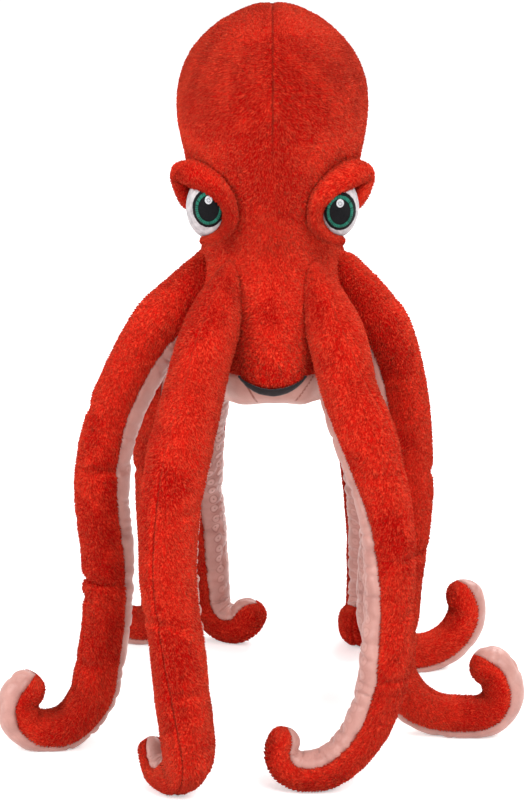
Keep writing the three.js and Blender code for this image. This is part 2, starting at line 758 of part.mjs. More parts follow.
function mouthStrip() {
  const hemShare = (hemHeight - bellyHeight) / bodyHeight;
  const sections = [];
  for (let step = 0; step <= mouthSteps; step += 1) {
    const place = (step / mouthSteps) * 2 - 1;
    const degrees = place * mouthHalfAngle;
    const top = hemHeight + place ** 2 * mouthHeight;
    const thick = Math.max(mouthEndShare, Math.sqrt(1 - place ** 2)) * mouthHeight;
    const radius = bodyRadius + bibAt(degrees, hemShare);
    sections.push({ degrees, radius, top, thick });
  }
  const row = (lift) => sections.map(({ degrees, radius, top, thick }) => {
    const place = outwards(degrees).multiplyScalar(radius + lift);
    return [place.clone().setZ(top), place.clone().setZ(top - thick)];
  });
  return sheetLoft(row(mouthThickness), row(-bibBulge / 2));
}

addMesh('mouth', mouthStrip().subtract(bodySolid(-seamGap)), blackFelt);

// The origin goes under the middle of the footprint
const box = new THREE.Box3().setFromObject(octopus);
const middle = box.getCenter(new THREE.Vector3());
octopus.position.set(-middle.x, -middle.y, 0);

export default octopus;
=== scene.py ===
# Plush octopus standing on eight posable arms: its skins, pile, embroidery and light.
# Lengths are millimetres here and turned to metres when a mesh is finished. The face looks
# along -Y, and left and right are as seen from the front.

import bmesh
import bpy
import numpy as np
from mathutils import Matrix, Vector


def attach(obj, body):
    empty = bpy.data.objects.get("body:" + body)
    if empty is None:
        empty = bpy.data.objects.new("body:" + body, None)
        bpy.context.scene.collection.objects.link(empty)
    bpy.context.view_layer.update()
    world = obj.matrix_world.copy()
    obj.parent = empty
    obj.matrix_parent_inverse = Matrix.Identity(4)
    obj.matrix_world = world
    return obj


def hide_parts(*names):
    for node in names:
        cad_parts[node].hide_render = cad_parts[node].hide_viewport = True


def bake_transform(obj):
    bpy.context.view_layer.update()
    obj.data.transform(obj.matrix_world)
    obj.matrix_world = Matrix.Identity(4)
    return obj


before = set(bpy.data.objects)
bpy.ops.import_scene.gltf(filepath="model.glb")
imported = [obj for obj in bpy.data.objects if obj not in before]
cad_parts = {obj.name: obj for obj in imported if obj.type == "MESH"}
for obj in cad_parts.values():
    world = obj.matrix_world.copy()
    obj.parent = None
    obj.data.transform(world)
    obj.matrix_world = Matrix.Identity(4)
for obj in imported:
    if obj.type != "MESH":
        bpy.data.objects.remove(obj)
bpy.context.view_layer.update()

# How coarse the cloth's grids are, 1 in full detail
tuft = 1.0

METRE = 1000
AXIS = np.array([6.019, -12.276, 0.0])
NECK = 272.0
HEM = 206.0
UNDERSIDE = 190
BODY_WIDE = 46.0
HIP_OUT, HIP_HEIGHT = 54, 235.5

# Bib: half its width in degrees, and how far it swells; mouth: half its width, and how tall it is
BIB_HALF, BIB_DEEP = 42, 13
MOUTH_HALF, MOUTH_TALL = 19, 4.0

# Half the angle that an arm's red panels cover, and the slit where the satin's edge is sewn in
RED_HALF = 2 * np.pi / 3
SLIT = np.radians(3)

# Eyes: their middle aside from the axis, forward and up, and half their size
EYE_ASIDE, EYE_FORWARD, EYE_HEIGHT = 33.7, 29.0, 296.0
EYE_HALF = np.array([11.5, 13.0, 16.2])

# Where each iris lies: aside from the axis, with its sign, and up
IRIS_MIDDLE = {-1: (-33.1, 297.3), 1: (35.0, 295.6)}

# Head and body outline from the crown down to the middle of the underside, with a point or
# more beyond each end: radius, height
OUTLINE = [
    (-10.2, 398.1), (0, 400), (10.2, 398.1), (21.9, 393), (33.4, 385), (43.35, 373.8), (49.2, 360.3),
    (51, 345), (49.5, 329.6), (46.2, 314.9), (43.35, 300.2), (40, 284.8), (37.6, 272), (40, 260),
    (43.4, 250), (45.6, 235), (46.2, 217.9), (45.1, 206), (40.9, 197.4), (32.2, 192.05), (15.6, 190),
    (0, 189.8), (-15.6, 190),
]

# Each arm's middle line from its gore to its last round: x, y, z, radius, facing in degrees
ROUTES = {
    "front_left_arm": [
        (-15.5, -42, 268, 3, -15), (-17.5, -46, 258, 8, -15), (-21.5, -51.5, 246.5, 12.5, -15),
        (-26, -58.5, 234.5, 15.2, -15), (-30.2, -66.1, 222.8, 15.8, -17), (-35.4, -75.1, 201.7, 16.3, -20),
        (-40.8, -86.1, 180.7, 16.8, -26), (-46.3, -99.1, 149, 16.2, -30), (-47, -110.1, 113.1, 15.5, -36),
        (-42.8, -119.1, 79.4, 14.8, -34), (-37.6, -127.1, 24.5, 13.8, -12), (-38.8, -126.2, 19, 12.9, -8),
        (-41.4, -123.8, 14.1, 12.1, -2), (-44.9, -121.1, 11.3, 11.3, 5), (-47.8, -117.6, 9.9, 10.6, 12),
        (-50.8, -114, 9.9, 10.1, 20), (-53.4, -110.6, 11.3, 9.6, 26), (-55.3, -107.8, 14.1, 9.2, 30),
        (-56.5, -106, 17.8, 8.8, 32),
    ],
    "front_right_arm": [
        (27.5, -42, 268, 3, 8), (29.5, -46, 258, 8, 8), (33.5, -51.5, 246.5, 12.5, 8),
        (38, -58.5, 234.5, 15, 8), (41.6, -66.1, 222.5, 15.2, 19), (45.4, -74.1, 204.5, 15.5, 43),
        (52.2, -83.1, 186.6, 16.8, 61), (58.8, -91.1, 167, 15.6, 66), (64.6, -100.1, 144.2, 14, 76),
        (66.6, -108.1, 113.2, 13.6, 92), (64.8, -116.1, 72.4, 13.3, 98), (62.6, -116, 57.1, 12.9, 98),
        (58, -115.9, 42.2, 12.4, 98), (51.2, -115.7, 28.2, 11.9, 96), (43.2, -115.4, 18.6, 11.5, 94),
        (34.7, -115, 12.2, 11, 92), (22.3, -114.6, 10, 10.5, 92), (18.5, -114.4, 10.7, 10.2, 92),
        (15, -114.3, 12.6, 9.8, 92), (12.4, -114.2, 15.5, 9.5, 92), (10.9, -114.2, 19, 9.1, 92),
        (10.7, -114.2, 22.9, 8.7, 92), (11.7, -114.2, 26.7, 8.4, 92),
    ],
    "left_arm": [
        (-25, -20, 269, 3.5, -78), (-28.9, -21, 260, 10, -78), (-35.4, -22.6, 249, 14.2, -78),
        (-44.4, -24.7, 237.5, 16.4, -78), (-54, -26.3, 228.4, 16.4, -84), (-66.4, -29.3, 208.5, 15.6, -90),
        (-76.4, -32.3, 187.4, 15, -90), (-83.4, -36.3, 164.2, 14.8, -86),
        (-85.8, -40.3, 139.2, 14.8, -80), (-83, -44.3, 106.5, 14.5, -74), (-83.2, -48.3, 73.7, 13.8, -66),
        (-88.2, -52.3, 42.9, 13, -58), (-91.3, -52.6, 29.6, 12.7, -58), (-98.5, -53.3, 17.8, 12.4, -58),
        (-104.6, -53.9, 12.6, 12.3, -58), (-112.2, -54.7, 9.8, 12.1, -58), (-120.3, -55.6, 9.8, 12, -58),
        (-125.1, -56.1, 11.6, 11.9, -58), (-129, -56.5, 15.1, 11.7, -58), (-131.4, -56.8, 19.6, 11.6, -58),
        (-132, -56.8, 24.8, 11.4, -58), (-130.8, -56.7, 29.8, 11.3, -58), (-127.9, -56.4, 34, 11.2, -58),
    ],
    "right_arm": [
        (37.1, -20, 269, 4, 78), (41.3, -21, 261, 10.5, 78), (47.9, -22.6, 249.5, 14.4, 78),
        (56.6, -24.7, 237.5, 16.2, 78), (64.2, -26.3, 228.2, 15.8, 80), (70.6, -27.3, 212.2, 15, 84),
        (75.8, -29.3, 189.3, 14.9, 86), (79, -30.3, 154.7, 14.7, 86), (79.2, -31.3, 124, 14.2, 86),
        (75.2, -32.3, 89.3, 13.6, 84), (72.4, -33.3, 43.2, 12.7, 74), (74, -33.5, 33.1, 12.6, 70),
        (78.6, -33.8, 24.1, 12.5, 66), (85.8, -34.3, 16.9, 12.3, 66), (94.8, -34.9, 12.3, 12.2, 66),
        (104.8, -35.6, 10.7, 12.1, 70), (117.1, -36.6, 10.7, 11.9, 74), (122.7, -36.9, 11.8, 11.8, 77),
        (127.3, -37.2, 14.4, 11.7, 78), (130.7, -37.4, 18.3, 11.5, 78), (132.5, -37.5, 23, 11.4, 78),
        (132.6, -37.6, 28, 11.3, 78), (131.2, -37.6, 33.4, 11.3, 78), (128.6, -37.4, 37.8, 11.3, 78),
        (125, -37.2, 40.6, 11.2, 78),
    ],
    "rear_left_arm": [
        (-22.2, 2.7, 269, 3, -118), (-25.8, 4.6, 260, 8.5, -118), (-31.5, 7.7, 248, 12.5, -118),
        (-39.5, 11.9, 236.5, 15.2, -118), (-47.7, 23.1, 220.8, 15.2, -117),
        (-53.7, 38.1, 199.8, 14.9, -115), (-58.7, 58.1, 164, 14.6, -114), (-60.2, 78.1, 124.1, 13.9, -108),
        (-60.2, 96.1, 84.1, 13.3, -98), (-59.7, 114.1, 25.3, 12.7, -84), (-60.5, 114.2, 20.1, 12.5, -80),
        (-63.1, 114.7, 15.6, 12.3, -80), (-67, 115.4, 12.3, 12.1, -80), (-71.8, 116.2, 10.5, 11.9, -80),
        (-79.3, 117.5, 10.5, 11.7, -80), (-86.5, 118.8, 12.8, 11.5, -80), (-92.5, 119.9, 17.4, 11.4, -80),
        (-96.7, 120.6, 23.7, 11.2, -80),
    ],
    "rear_right_arm": [
        (34.3, 2.7, 269, 3, 118), (37.8, 4.6, 260, 8.5, 118), (43.5, 7.7, 248, 12.5, 118),
        (51.5, 11.9, 236.5, 15.2, 118), (58.7, 21.1, 219.5, 15.2, 116), (65.7, 30.1, 199.4, 14.9, 114),
        (69.7, 42.1, 163.4, 14.6, 112), (70.7, 52.1, 123.3, 13.9, 108), (69.7, 61.1, 79.2, 13.3, 104),
        (69.2, 67.1, 35.1, 12.7, 100), (70.4, 67.2, 27.1, 12.6, 98), (73.4, 67.6, 19.8, 12.5, 98),
        (77.9, 68.2, 14.1, 12.3, 98), (83.9, 69, 10.4, 12.2, 98), (91.2, 69.8, 9.1, 12.1, 98),
        (100.5, 70.8, 10.7, 11.9, 98), (109.6, 71.8, 15.3, 11.8, 98), (116.3, 72.5, 22.5, 11.7, 98),
        (120.3, 73, 31.6, 11.5, 98), (120.8, 73.1, 35.7, 11.4, 98), (120.4, 73, 39.8, 11.3, 98),
        (119, 72.9, 43.6, 11.2, 98),
    ],
    "back_left_arm": [
        (-5.4, 17.6, 269, 3, -159), (-6.9, 21.3, 260, 8.5, -159), (-9.2, 27.4, 248, 12.5, -159),
        (-12.4, 35.8, 236.5, 15.2, -159), (-18.3, 46.1, 221, 15.2, -157), (-24.3, 60.1, 202.4, 14.9, -152),
        (-31.3, 78.1, 169.3, 14.6, -150), (-35.8, 97.1, 129.9, 13.9, -142),
        (-34.9, 112.1, 90.6, 13.3, -126), (-31.8, 124.1, 28.5, 12.7, -118),
        (-30.9, 123.6, 22.3, 12.5, -118), (-28.1, 122.1, 16.8, 12.3, -118),
        (-23.8, 119.9, 12.7, 12.1, -118), (-20.2, 118, 11.2, 11.9, -118), (-16.5, 116, 11.1, 11.7, -118),
        (-12.8, 114, 12.4, 11.5, -118), (-9.8, 112.4, 14.9, 11.4, -118), (-7.7, 111.3, 18.5, 11.2, -118),
    ],
    "back_right_arm": [
        (17.5, 17.6, 269, 3, 159), (18.9, 21.3, 260, 8.5, 159), (21.2, 27.4, 248, 12.5, 159),
        (24.5, 35.8, 236.5, 15.2, 159), (30.4, 48.1, 221, 15.2, 160), (40.4, 64.1, 202.4, 14.9, 161),
        (51.4, 85.1, 165.1, 14.6, 162), (59.4, 104.1, 123.8, 13.9, 162), (63.4, 118.1, 80.3, 13.3, 162),
        (64.4, 128.1, 28.6, 12.7, 162), (64, 127.1, 22.3, 12.5, 162), (63.1, 124.1, 16.9, 12.3, 162),
        (61.6, 119.5, 12.8, 12.1, 162), (60.2, 115.4, 11.3, 11.9, 162), (58.9, 111.2, 11.3, 11.7, 162),
        (58.3, 107.1, 12.8, 11.5, 162), (57.8, 103.8, 15.7, 11.4, 162), (57.4, 101.7, 19.6, 11.2, 162),
    ],
}

# Each arm: azimuth of the hip where it turns, and how strongly its printed rings show, from 0 to 1, lower
# where painted highlight washes them out
ARMS = {
    "front_left_arm": (-32, 0.5), "front_right_arm": (32, 0.35), "left_arm": (-76, 0.45),
    "right_arm": (76, 0.45), "rear_left_arm": (-118, 0.6), "rear_right_arm": (118, 0.5),
    "back_left_arm": (-159, 1.0), "back_right_arm": (159, 0.4),
}

# How far down an arm its outer seam begins to show, where that is not at the top
SEAM_SHOWS = {"front_left_arm": 110, "front_right_arm": 60}

# Brow rolls: inward, forward and up from the eye's middle, and the radius, in brow units
BROW_UNIT = 15
BROW = [
    (-0.72, -0.46, -0.02, 0.2), (-0.86, -0.62, 0.36, 0.29), (-0.97, -0.78, 0.78, 0.34),
    (-0.96, -0.66, 1.06, 0.36), (-0.72, -0.26, 1.17, 0.43), (-0.3, 0.22, 1.11, 0.5),
    (0.24, 0.52, 0.79, 0.46), (0.6, 0.64, 0.42, 0.37), (0.76, 0.64, 0, 0.3), (0.75, 0.6, -0.44, 0.27),
    (0.52, 0.58, -0.8, 0.23), (0.14, 0.54, -1.06, 0.19), (-0.16, 0.42, -1.13, 0.15),
]

# Puckers where the stuffing is bent: height, azimuth it faces, depth, reach down, reach round
DENTS = {
    "left_arm": [
        (186, -110, 2.2, 2.6, 45), (155, 10, 2.2, 2.6, 50), (126, -120, 1.6, 3, 40),
        (94, -60, 4.6, 1.9, 80), (84, -100, 2.0, 2.5, 50), (50, -40, 1.8, 3, 45),
    ],
    "right_arm": [(150, 100, 2.2, 3, 40), (105, 50, 1.8, 3, 40), (60, 110, 2.0, 3, 45)],
    "front_left_arm": [
        (188, -40, 1.6, 2.6, 45), (150, 30, 1.4, 3, 45), (96, -50, 1.8, 2.6, 45), (60, 20, 1.6, 2.6, 45),
    ],
    "front_right_arm": [
        (168, 30, 1.6, 2.6, 50), (126, 60, 2.0, 2.4, 50), (98, 70, 1.8, 2.6, 50), (64, 20, 1.8, 2.6, 50),
    ],
    "rear_left_arm": [(120, -90, 1.6, 3, 45)],
    "rear_right_arm": [(110, 120, 1.6, 3, 45)],
    "back_left_arm": [(112, -150, 1.8, 3, 45), (76, 20, 1.8, 3, 45)],
    "back_right_arm": [(118, 150, 1.6, 3, 45)],
}

# Painted light: the pile is painted lighter on the side that looks this way, and darker in the middle of
# the forehead
LIGHT_SIDE = np.array([0.5, -0.2, 0.8])
DEEP_MIDDLE, DEEP_HALF = (8, -62, 335), (24, 30, 42)

# Sucker rings on the satin: rows aside from its middle, half the gap along a row, and radius
RING_ASIDE, RING_HALF_GAP, RING_RADIUS = 3.9, 3.6, 2.85


# Shapes in numbers

def unit(vectors):
    return vectors / np.maximum(np.linalg.norm(vectors, axis=-1, keepdims=True), 1e-9)


def ease(values, low, high):
    share = np.clip((values - low) / (high - low), 0, 1)
    return share * share * (3 - 2 * share)


def bell(values):
    """1 at zero, falling off smoothly to both sides."""
    return np.exp(-values ** 2)


def dome(values):
    """The height of a unit circle over its own diameter."""
    return np.sqrt(np.clip(1 - values ** 2, 0, 1))


def wrapped(turn):
    """The same angle, from half a turn back to half a turn on."""
    return (turn + np.pi) % (2 * np.pi) - np.pi


def lumps(points, size, seed):
    """Smooth random values from -1 to 1, about one swell for every size millimetres."""
    scaled = points / size + seed * 7.31
    cell = np.floor(scaled).astype(np.int64)
    share = ease(scaled - cell, 0, 1)
    total = np.zeros(len(points))
    for corner in range(8):
        step = np.array([corner & 1, corner >> 1 & 1, corner >> 2 & 1])
        place = cell + step
        code = place[:, 0] * 73856093 ^ place[:, 1] * 19349663 ^ place[:, 2] * 83492791 ^ seed * 2654435
        code = (code ^ (code >> 13)) * 1274126177 & 0x7FFFFFFF
        value = ((code ^ (code >> 15)) & 0xFFFF) / 32767.5 - 1
        total += value * np.prod(np.where(step, share, 1 - share), axis=1)
    return total


def curve_through(controls, step=0.7):
    """Rows along a smooth curve through the controls, and how far along each row lies."""
    controls = np.asarray(controls, float)
    gaps = np.linalg.norm(np.diff(controls[:, :3], axis=0), axis=1)
    at = np.concatenate([[0], np.cumsum(np.sqrt(gaps))])
    slope = np.gradient(controls, at, axis=0)
    fine = np.linspace(0, at[-1], int(gaps.sum() / step) + 2)
    low = np.clip(np.searchsorted(at, fine, side="right") - 1, 0, len(at) - 2)
    gap = (at[low + 1] - at[low])[:, None]
    t = (fine[:, None] - at[low][:, None]) / gap
    rows = ((2 * t**3 - 3 * t**2 + 1) * controls[low] + (t**3 - 2 * t**2 + t) * gap * slope[low]
            + (3 * t**2 - 2 * t**3) * controls[low + 1] + (t**3 - t**2) * gap * slope[low + 1])
    moved = np.linalg.norm(np.diff(rows[:, :3], axis=0), axis=1)
    return rows, np.concatenate([[0], np.cumsum(moved)])


def stack(*columns):
    return np.stack(columns, axis=1)


def along(distances, at, rows):
    """The rows read off at the given distances."""
    return stack(*(np.interp(distances, at, column) for column in rows.T))


def outwards(degrees):
    turn = np.radians(degrees)
    return np.stack([np.sin(turn), -np.cos(turn), np.zeros_like(turn)], axis=-1)


def spokes(turn, first, second):
    """Directions at each angle, in the plane of the first and the second."""
    return first * np.cos(turn)[:, None] + second * np.sin(turn)[:, None]


def eye_middle(side):
    return AXIS + (side * EYE_ASIDE, -EYE_FORWARD, EYE_HEIGHT)


# Meshes

def placed(name, data):
    """A new object in the scene."""
    made = bpy.data.objects.new(name, data)
    bpy.context.scene.collection.objects.link(made)
    return made


def finished(name, mesh, points, material, slot):
    mesh.vertices.foreach_set("co", (points / METRE).astype(np.float32).ravel())
    mesh.materials.append(material)
    mesh.shade_smooth()
    mesh.update()
    piece = placed(name, mesh)
    return piece


def read_points(mesh, field):
    flat = np.empty(len(mesh.vertices) * 3, np.float32)
    mesh.vertices.foreach_get(field, flat)
    return flat.reshape(-1, 3).astype(float)


def write_attribute(mesh, name, values):
    values = np.asarray(values, np.float32)
    kind, field = ("FLOAT_VECTOR", "vector") if values.ndim > 1 else ("FLOAT", "value")
    mesh.attributes.new(name, kind, "POINT").data.foreach_set(field, values.ravel())


def write_uv(mesh, name, places, round_trip=False):
    """A UV map from the places of the mesh's points. On a round trip, faces across the join
    keep their U together."""
    corner = np.empty(len(mesh.loops), np.int32)
    mesh.loops.foreach_get("vertex_index", corner)
    uv = places[corner]
    if round_trip:
        for face in mesh.polygons:
            u = uv[face.loop_start:face.loop_start + face.loop_total, 0]
            if u.max() - u.min() > 0.5:
                u[u < 0.5] += 1
    mesh.uv_layers.new(name=name).data.foreach_set("uv", uv.astype(np.float32).ravel())


def grid_mesh(name, across, down, round_trip, poles, poked):
    """A grid whose corners keep their column and row, sewn into a tube and closed at its poles."""
    bm = bmesh.new()
    bmesh.ops.create_grid(bm, x_segments=across, y_segments=down, size=0.5)
    if poked:
        bmesh.ops.poke(bm, faces=bm.faces[:])
    bm.verts.ensure_lookup_table()
    wide = across + 1
    sewn = {}
    if round_trip:
        for row in range(down + 1):
            sewn[bm.verts[row * wide + across]] = bm.verts[row * wide]
    for pole, row in zip(poles, (0, down)):
        if pole:
            first = bm.verts[row * wide]
            for column in range(1, wide):
                sewn[bm.verts[row * wide + column]] = first
    if sewn:
        bmesh.ops.weld_verts(bm, targetmap=sewn)
    mesh = bpy.data.meshes.new(name)
    bm.to_mesh(mesh)
    bm.free()
    flat = read_points(mesh, "co")
    return mesh, (flat[:, 0] + 0.5) * across, (flat[:, 1] + 0.5) * down


def turned_out(mesh, points, inner):
    """Turns the mesh's faces away from the inner points, and gives its normals."""
    mesh.vertices.foreach_set("co", points.astype(np.float32).ravel())
    mesh.update()
    normals = read_points(mesh, "normal")
    if np.sum(normals * (points - inner)) < 0:
        mesh.flip_normals()
        mesh.update()
        normals = -normals
    return normals


def plush(name, columns, rows, place, nap, coat, seam, strokes, seed):
    """A stuffed form covered with pile: place gives the cloth's points and the points inside
    them, nap the way the pile leans, coat how high it stands, seam how much painted shade lies
    along the seams where thread draws the cloth in, and strokes the millimetres across and
    along the pile."""
    across, down = len(columns) - 1, len(rows) - 1
    mesh, column, row = grid_mesh(name, across, down, True, (True, True), True)
    rng = np.random.default_rng(seed)
    tip = np.abs(column % 1 - 0.5) < 0.25
    free = (row > 0.9) & (row < down - 0.9)
    stagger = 0.5 - np.abs(row % 2 - 1) * 0.5
    column = column + (stagger + rng.uniform(-0.2, 0.2, len(column))) * free
    row = row + rng.uniform(-0.2, 0.2, len(row)) * free
    u = np.interp(column % across, np.arange(across + 1), columns)
    v = np.interp(row, np.arange(down + 1), rows)
    points, inner = place(u, v)
    normals = turned_out(mesh, points, inner)
    across_pile, along_pile = strokes(u, v)
    brush = stack(across_pile, along_pile, np.full(len(u), seed * 5.0))
    clump = lumps(brush * (1, 0.5, 1), 1.8, seed)
    height = coat(u, v, points) * tip * rng.uniform(0.8, 1.2, len(u)) * (1 + 0.3 * clump)
    lean = unit(nap(u, v, points) + rng.normal(0, 0.4, points.shape))
    lean = lean - normals * np.sum(lean * normals, axis=1, keepdims=True)
    swept = height * rng.uniform(0.6, 1.4, len(u))
    points = points + normals * height[:, None] + lean * swept[:, None]
    points[:, 2] = np.maximum(points[:, 2], 0.1)
    # pile: 1 at the tufts' tips, 0 at their roots; the finish paints shade at the roots with it
    write_attribute(mesh, "pile", tip * ease(height, 0, 0.8))
    write_attribute(mesh, "shade", np.clip(0.5 + 0.28 * clump + rng.uniform(-0.15, 0.15, len(u)), 0, 1))
    brushed_and_lit = 0.5 + 0.6 * lumps(points, 23, seed + 5) + 0.35 * lumps(points, 9, seed + 6)
    # Painted light: lighter where the surface faces LIGHT_SIDE; then darker around DEEP_MIDDLE on the
    # forehead
    brushed_and_lit += 0.4 * normals @ LIGHT_SIDE
    off_middle = (points - DEEP_MIDDLE) / DEEP_HALF
    write_attribute(mesh, "brushed_and_lit", brushed_and_lit - 0.5 * np.exp(-np.sum(off_middle ** 2, axis=1)))
    write_attribute(mesh, "brush", brush)
    write_attribute(mesh, "seam", seam(u, v, points))
    piece = finished(name, mesh, points, red_plush, "red_plush")
    return piece


def thicken(piece, thickness):
    """Gives the piece's surface its thickness, inwards."""
    wall = piece.modifiers.new("wall", "SOLIDIFY")
    wall.thickness, wall.offset, wall.use_even_offset = thickness / METRE, -1, False
    shaped = piece.evaluated_get(bpy.context.evaluated_depsgraph_get())
    mesh = bpy.data.meshes.new_from_object(shaped)
    piece.modifiers.clear()
    piece.data = mesh


# Materials

def new_node(tree, kind, inputs=(), **settings):
    made = tree.nodes.new(kind)
    for key, value in settings.items():
        setattr(made, key, value)
    for key, value in dict(inputs).items():
        if isinstance(value, bpy.types.NodeSocket):
            tree.links.new(value, made.inputs[key])
        else:
            made.inputs[key].default_value = value
    return made


def maths(tree, operation, first, second=0.0, third=0.0, clamp=False):
    return new_node(tree, "ShaderNodeMath", {0: first, 1: second, 2: third},
                    operation=operation, use_clamp=clamp).outputs[0]


def times(tree, first, second):
    return maths(tree, "MULTIPLY", first, second)


def fading(tree, start, slope, value):
    """Start less slope times the value, kept from 0 to 1."""
    return maths(tree, "SUBTRACT", start, times(tree, value, slope), clamp=True)


def off_from(tree, value, middle):
    return maths(tree, "ABSOLUTE", maths(tree, "SUBTRACT", value, middle))


def mixed(tree, share, first, second):
    return new_node(tree, "ShaderNodeMix", {0: share, 6: first, 7: second}, data_type="RGBA").outputs[2]


def colour(red, green, blue):
    """A colour as the eye reads it, from 0 to 255, for a socket."""
    def plain(value):
        share = value / 255
        return share / 12.92 if share < 0.04045 else ((share + 0.055) / 1.055) ** 2.4
    return (plain(red), plain(green), plain(blue), 1)


BLACK, WHITE = (0, 0, 0, 1), (1, 1, 1, 1)


def ramp(tree, value, low, high):
    """Black up to the low value, white from the high one."""
    made = new_node(tree, "ShaderNodeValToRGB", {0: value})
    for stop, position, shade in zip(made.color_ramp.elements, (low, high), (BLACK, WHITE)):
        stop.position, stop.color = position, shade
    return made.outputs[0]


def object_place(tree):
    return new_node(tree, "ShaderNodeTexCoord").outputs["Object"]


def uv_place(tree, name):
    """A place on a UV map, with its U and its V."""
    where = new_node(tree, "ShaderNodeUVMap", uv_map=name).outputs[0]
    parts = new_node(tree, "ShaderNodeSeparateXYZ", {0: where}).outputs
    return where, parts[0], parts[1]


def attribute(tree, name, output="Fac"):
    return new_node(tree, "ShaderNodeAttribute", attribute_name=name).outputs[output]


def noise_at(tree, where, scale, detail=2.0, rough=0.5):
    return new_node(tree, "ShaderNodeTexNoise",
                    {"Vector": where, "Scale": scale, "Detail": detail, "Roughness": rough}).outputs[0]


def new_group(name, **numbers):
    """A group that takes two colours and the numbers, and gives a colour and a height."""
    group = bpy.data.node_groups.new(name, "ShaderNodeTree")
    for label in ("Colour", "Dark"):
        group.interface.new_socket(label, in_out="INPUT", socket_type="NodeSocketColor")
    for label, value in numbers.items():
        socket = group.interface.new_socket(label, in_out="INPUT", socket_type="NodeSocketFloat")
        socket.default_value = value
    for label, kind in (("Colour", "NodeSocketColor"), ("Height", "NodeSocketFloat")):
        group.interface.new_socket(label, in_out="OUTPUT", socket_type=kind)
    return group, new_node(group, "NodeGroupInput").outputs


def close_group(group, given, share, height):
    """The group's colour goes from dark to full with the share."""
    tint = mixed(group, share, given["Dark"], given["Colour"])
    new_node(group, "NodeGroupOutput", {"Colour": tint, "Height": height})
    return group


def use_group(tree, group, **sockets):
    return new_node(tree, "ShaderNodeGroup", sockets, node_tree=group).outputs


def cloth_mottle_group():
    """Colour that wanders softly over a cloth, and the height of its fine fibres."""
    group, given = new_group("cloth_mottle", Patch=60.0, Fibre=900.0)
    where = object_place(group)
    patch = noise_at(group, where, given["Patch"], 3.0, 0.55)
    fibre = noise_at(group, where, given["Fibre"], 3.0, 0.6)
    share = maths(group, "MULTIPLY_ADD", patch, 1.6, -0.45, clamp=True)
    share = maths(group, "MULTIPLY_ADD", fibre, 0.35, share, clamp=True)
    return close_group(group, given, share, fibre)


def stitch_group():
    """Satin stitches that run outwards over an embroidered patch: colour, with painted shade in the
    grooves between stitches, and height. Its UV map holds the way round in U and the way out in V."""
    group, given = new_group("satin_stitches", Stitches=120.0)
    where, u, _ = uv_place(group, "stitches")
    wander = times(group, noise_at(group, where, 9.0), 0.9)
    turn = times(group, u, given["Stitches"])
    ridge = times(group, maths(group, "PINGPONG", maths(group, "ADD", turn, wander), 0.5), 2.0)
    cell = new_node(group, "ShaderNodeTexWhiteNoise", {"W": maths(group, "FLOOR", turn)},
                    noise_dimensions="1D").outputs[0]
    # Painted shade: darker in the grooves between stitches and lighter on their ridges, with random change
    # from stitch to stitch
    share = maths(group, "MULTIPLY_ADD", cell, 0.45, times(group, ridge, 0.6), clamp=True)
    return close_group(group, given, share, ridge)


def new_finish(name, roughness, **sockets):
    material = bpy.data.materials.new(name)
    material.use_nodes = True
    inputs = material.node_tree.nodes["Principled BSDF"].inputs
    inputs["Roughness"].default_value = roughness
    for label, value in sockets.items():
        inputs[label.replace("_", " ")].default_value = value
    return material, material.node_tree


def dressed(material, tint, height, strength, distance):
    """The material with its colour and its bump put on."""
    tree = material.node_tree
    inputs = tree.nodes["Principled BSDF"].inputs
    tree.links.new(tint, inputs["Base Color"])
    bump = new_node(tree, "ShaderNodeBump", {"Height": height, "Strength": strength, "Distance": distance})
    tree.links.new(bump.outputs[0], inputs["Normal"])
    return material


mottle = cloth_mottle_group()
stitches = stitch_group()


def red_plush_finish():
    """Short dense pile: painted shade at its roots and lighter tips, painted shade and painted
    highlight across its strokes, painted shade along its seams, and patches that are lighter
    or deeper at random and painted lighter on the side facing LIGHT_SIDE.
    """
    material, tree = new_finish(
        "red_plush", 0.85, Sheen_Weight=0.45, Sheen_Roughness=0.4, Sheen_Tint=(1, 0.2, 0.1, 1),
        Specular_IOR_Level=0.04)
    shade = attribute(tree, "shade")
    # Lighter and deeper patches: partly random from the pile's brushing, partly painted light
    patch = maths(tree, "SUBTRACT", attribute(tree, "brushed_and_lit"), 0.3)
    patch = maths(tree, "MULTIPLY_ADD", noise_at(tree, object_place(tree), 120.0, 3.0, 0.6), 0.6, patch)
    brushed_and_lit = ramp(tree, patch, 0.4, 0.62)
    brush = attribute(tree, "brush", "Vector")
    lengthened = new_node(tree, "ShaderNodeVectorMath", {0: brush, 1: (1.0, 0.4, 1.0)},
                          operation="MULTIPLY").outputs[0]
    stroke = ramp(tree, noise_at(tree, lengthened, 2.25, 1.0, 0.5), 0.36, 0.66)
    # Painted shade: the root colours are darker than the tip colours, and the pile share mixes them, with
    # random tone from the shade attribute
    root = mixed(tree, brushed_and_lit, colour(196, 0, 2), colour(240, 18, 10))
    tip = mixed(tree, brushed_and_lit, colour(234, 0, 3), colour(255, 56, 34))
    rise = maths(tree, "MULTIPLY_ADD", attribute(tree, "pile"), 0.5, times(tree, shade, 0.4))
    shadow = times(tree, maths(tree, "SUBTRACT", 1.0, stroke), 0.5)
    lit = times(tree, maths(tree, "POWER", stroke, 2.0), maths(tree, "MULTIPLY_ADD", shade, 0.45, 0.27))
    tint = mixed(tree, rise, root, tip)
    # Painted shade between the strokes, painted highlight on their tops, and painted shade along the seams
    for share, laid_on in ((shadow, colour(172, 0, 2)), (lit, colour(255, 92, 60)),
                           (attribute(tree, "seam"), colour(104, 0, 4))):
        tint = mixed(tree, share, tint, laid_on)
    return dressed(material, tint, stroke, 0.8, 0.0007)


def new_satin(name, roughness, tint, dark):
    material, tree = new_finish(
        name, roughness, Sheen_Weight=0.3, Sheen_Roughness=0.35, Sheen_Tint=(1, 0.8, 0.75, 1),
        Specular_IOR_Level=0.5)
    cloth = use_group(tree, mottle, Colour=tint, Dark=dark, Patch=90.0, Fibre=1400.0)
    return material, tree, cloth


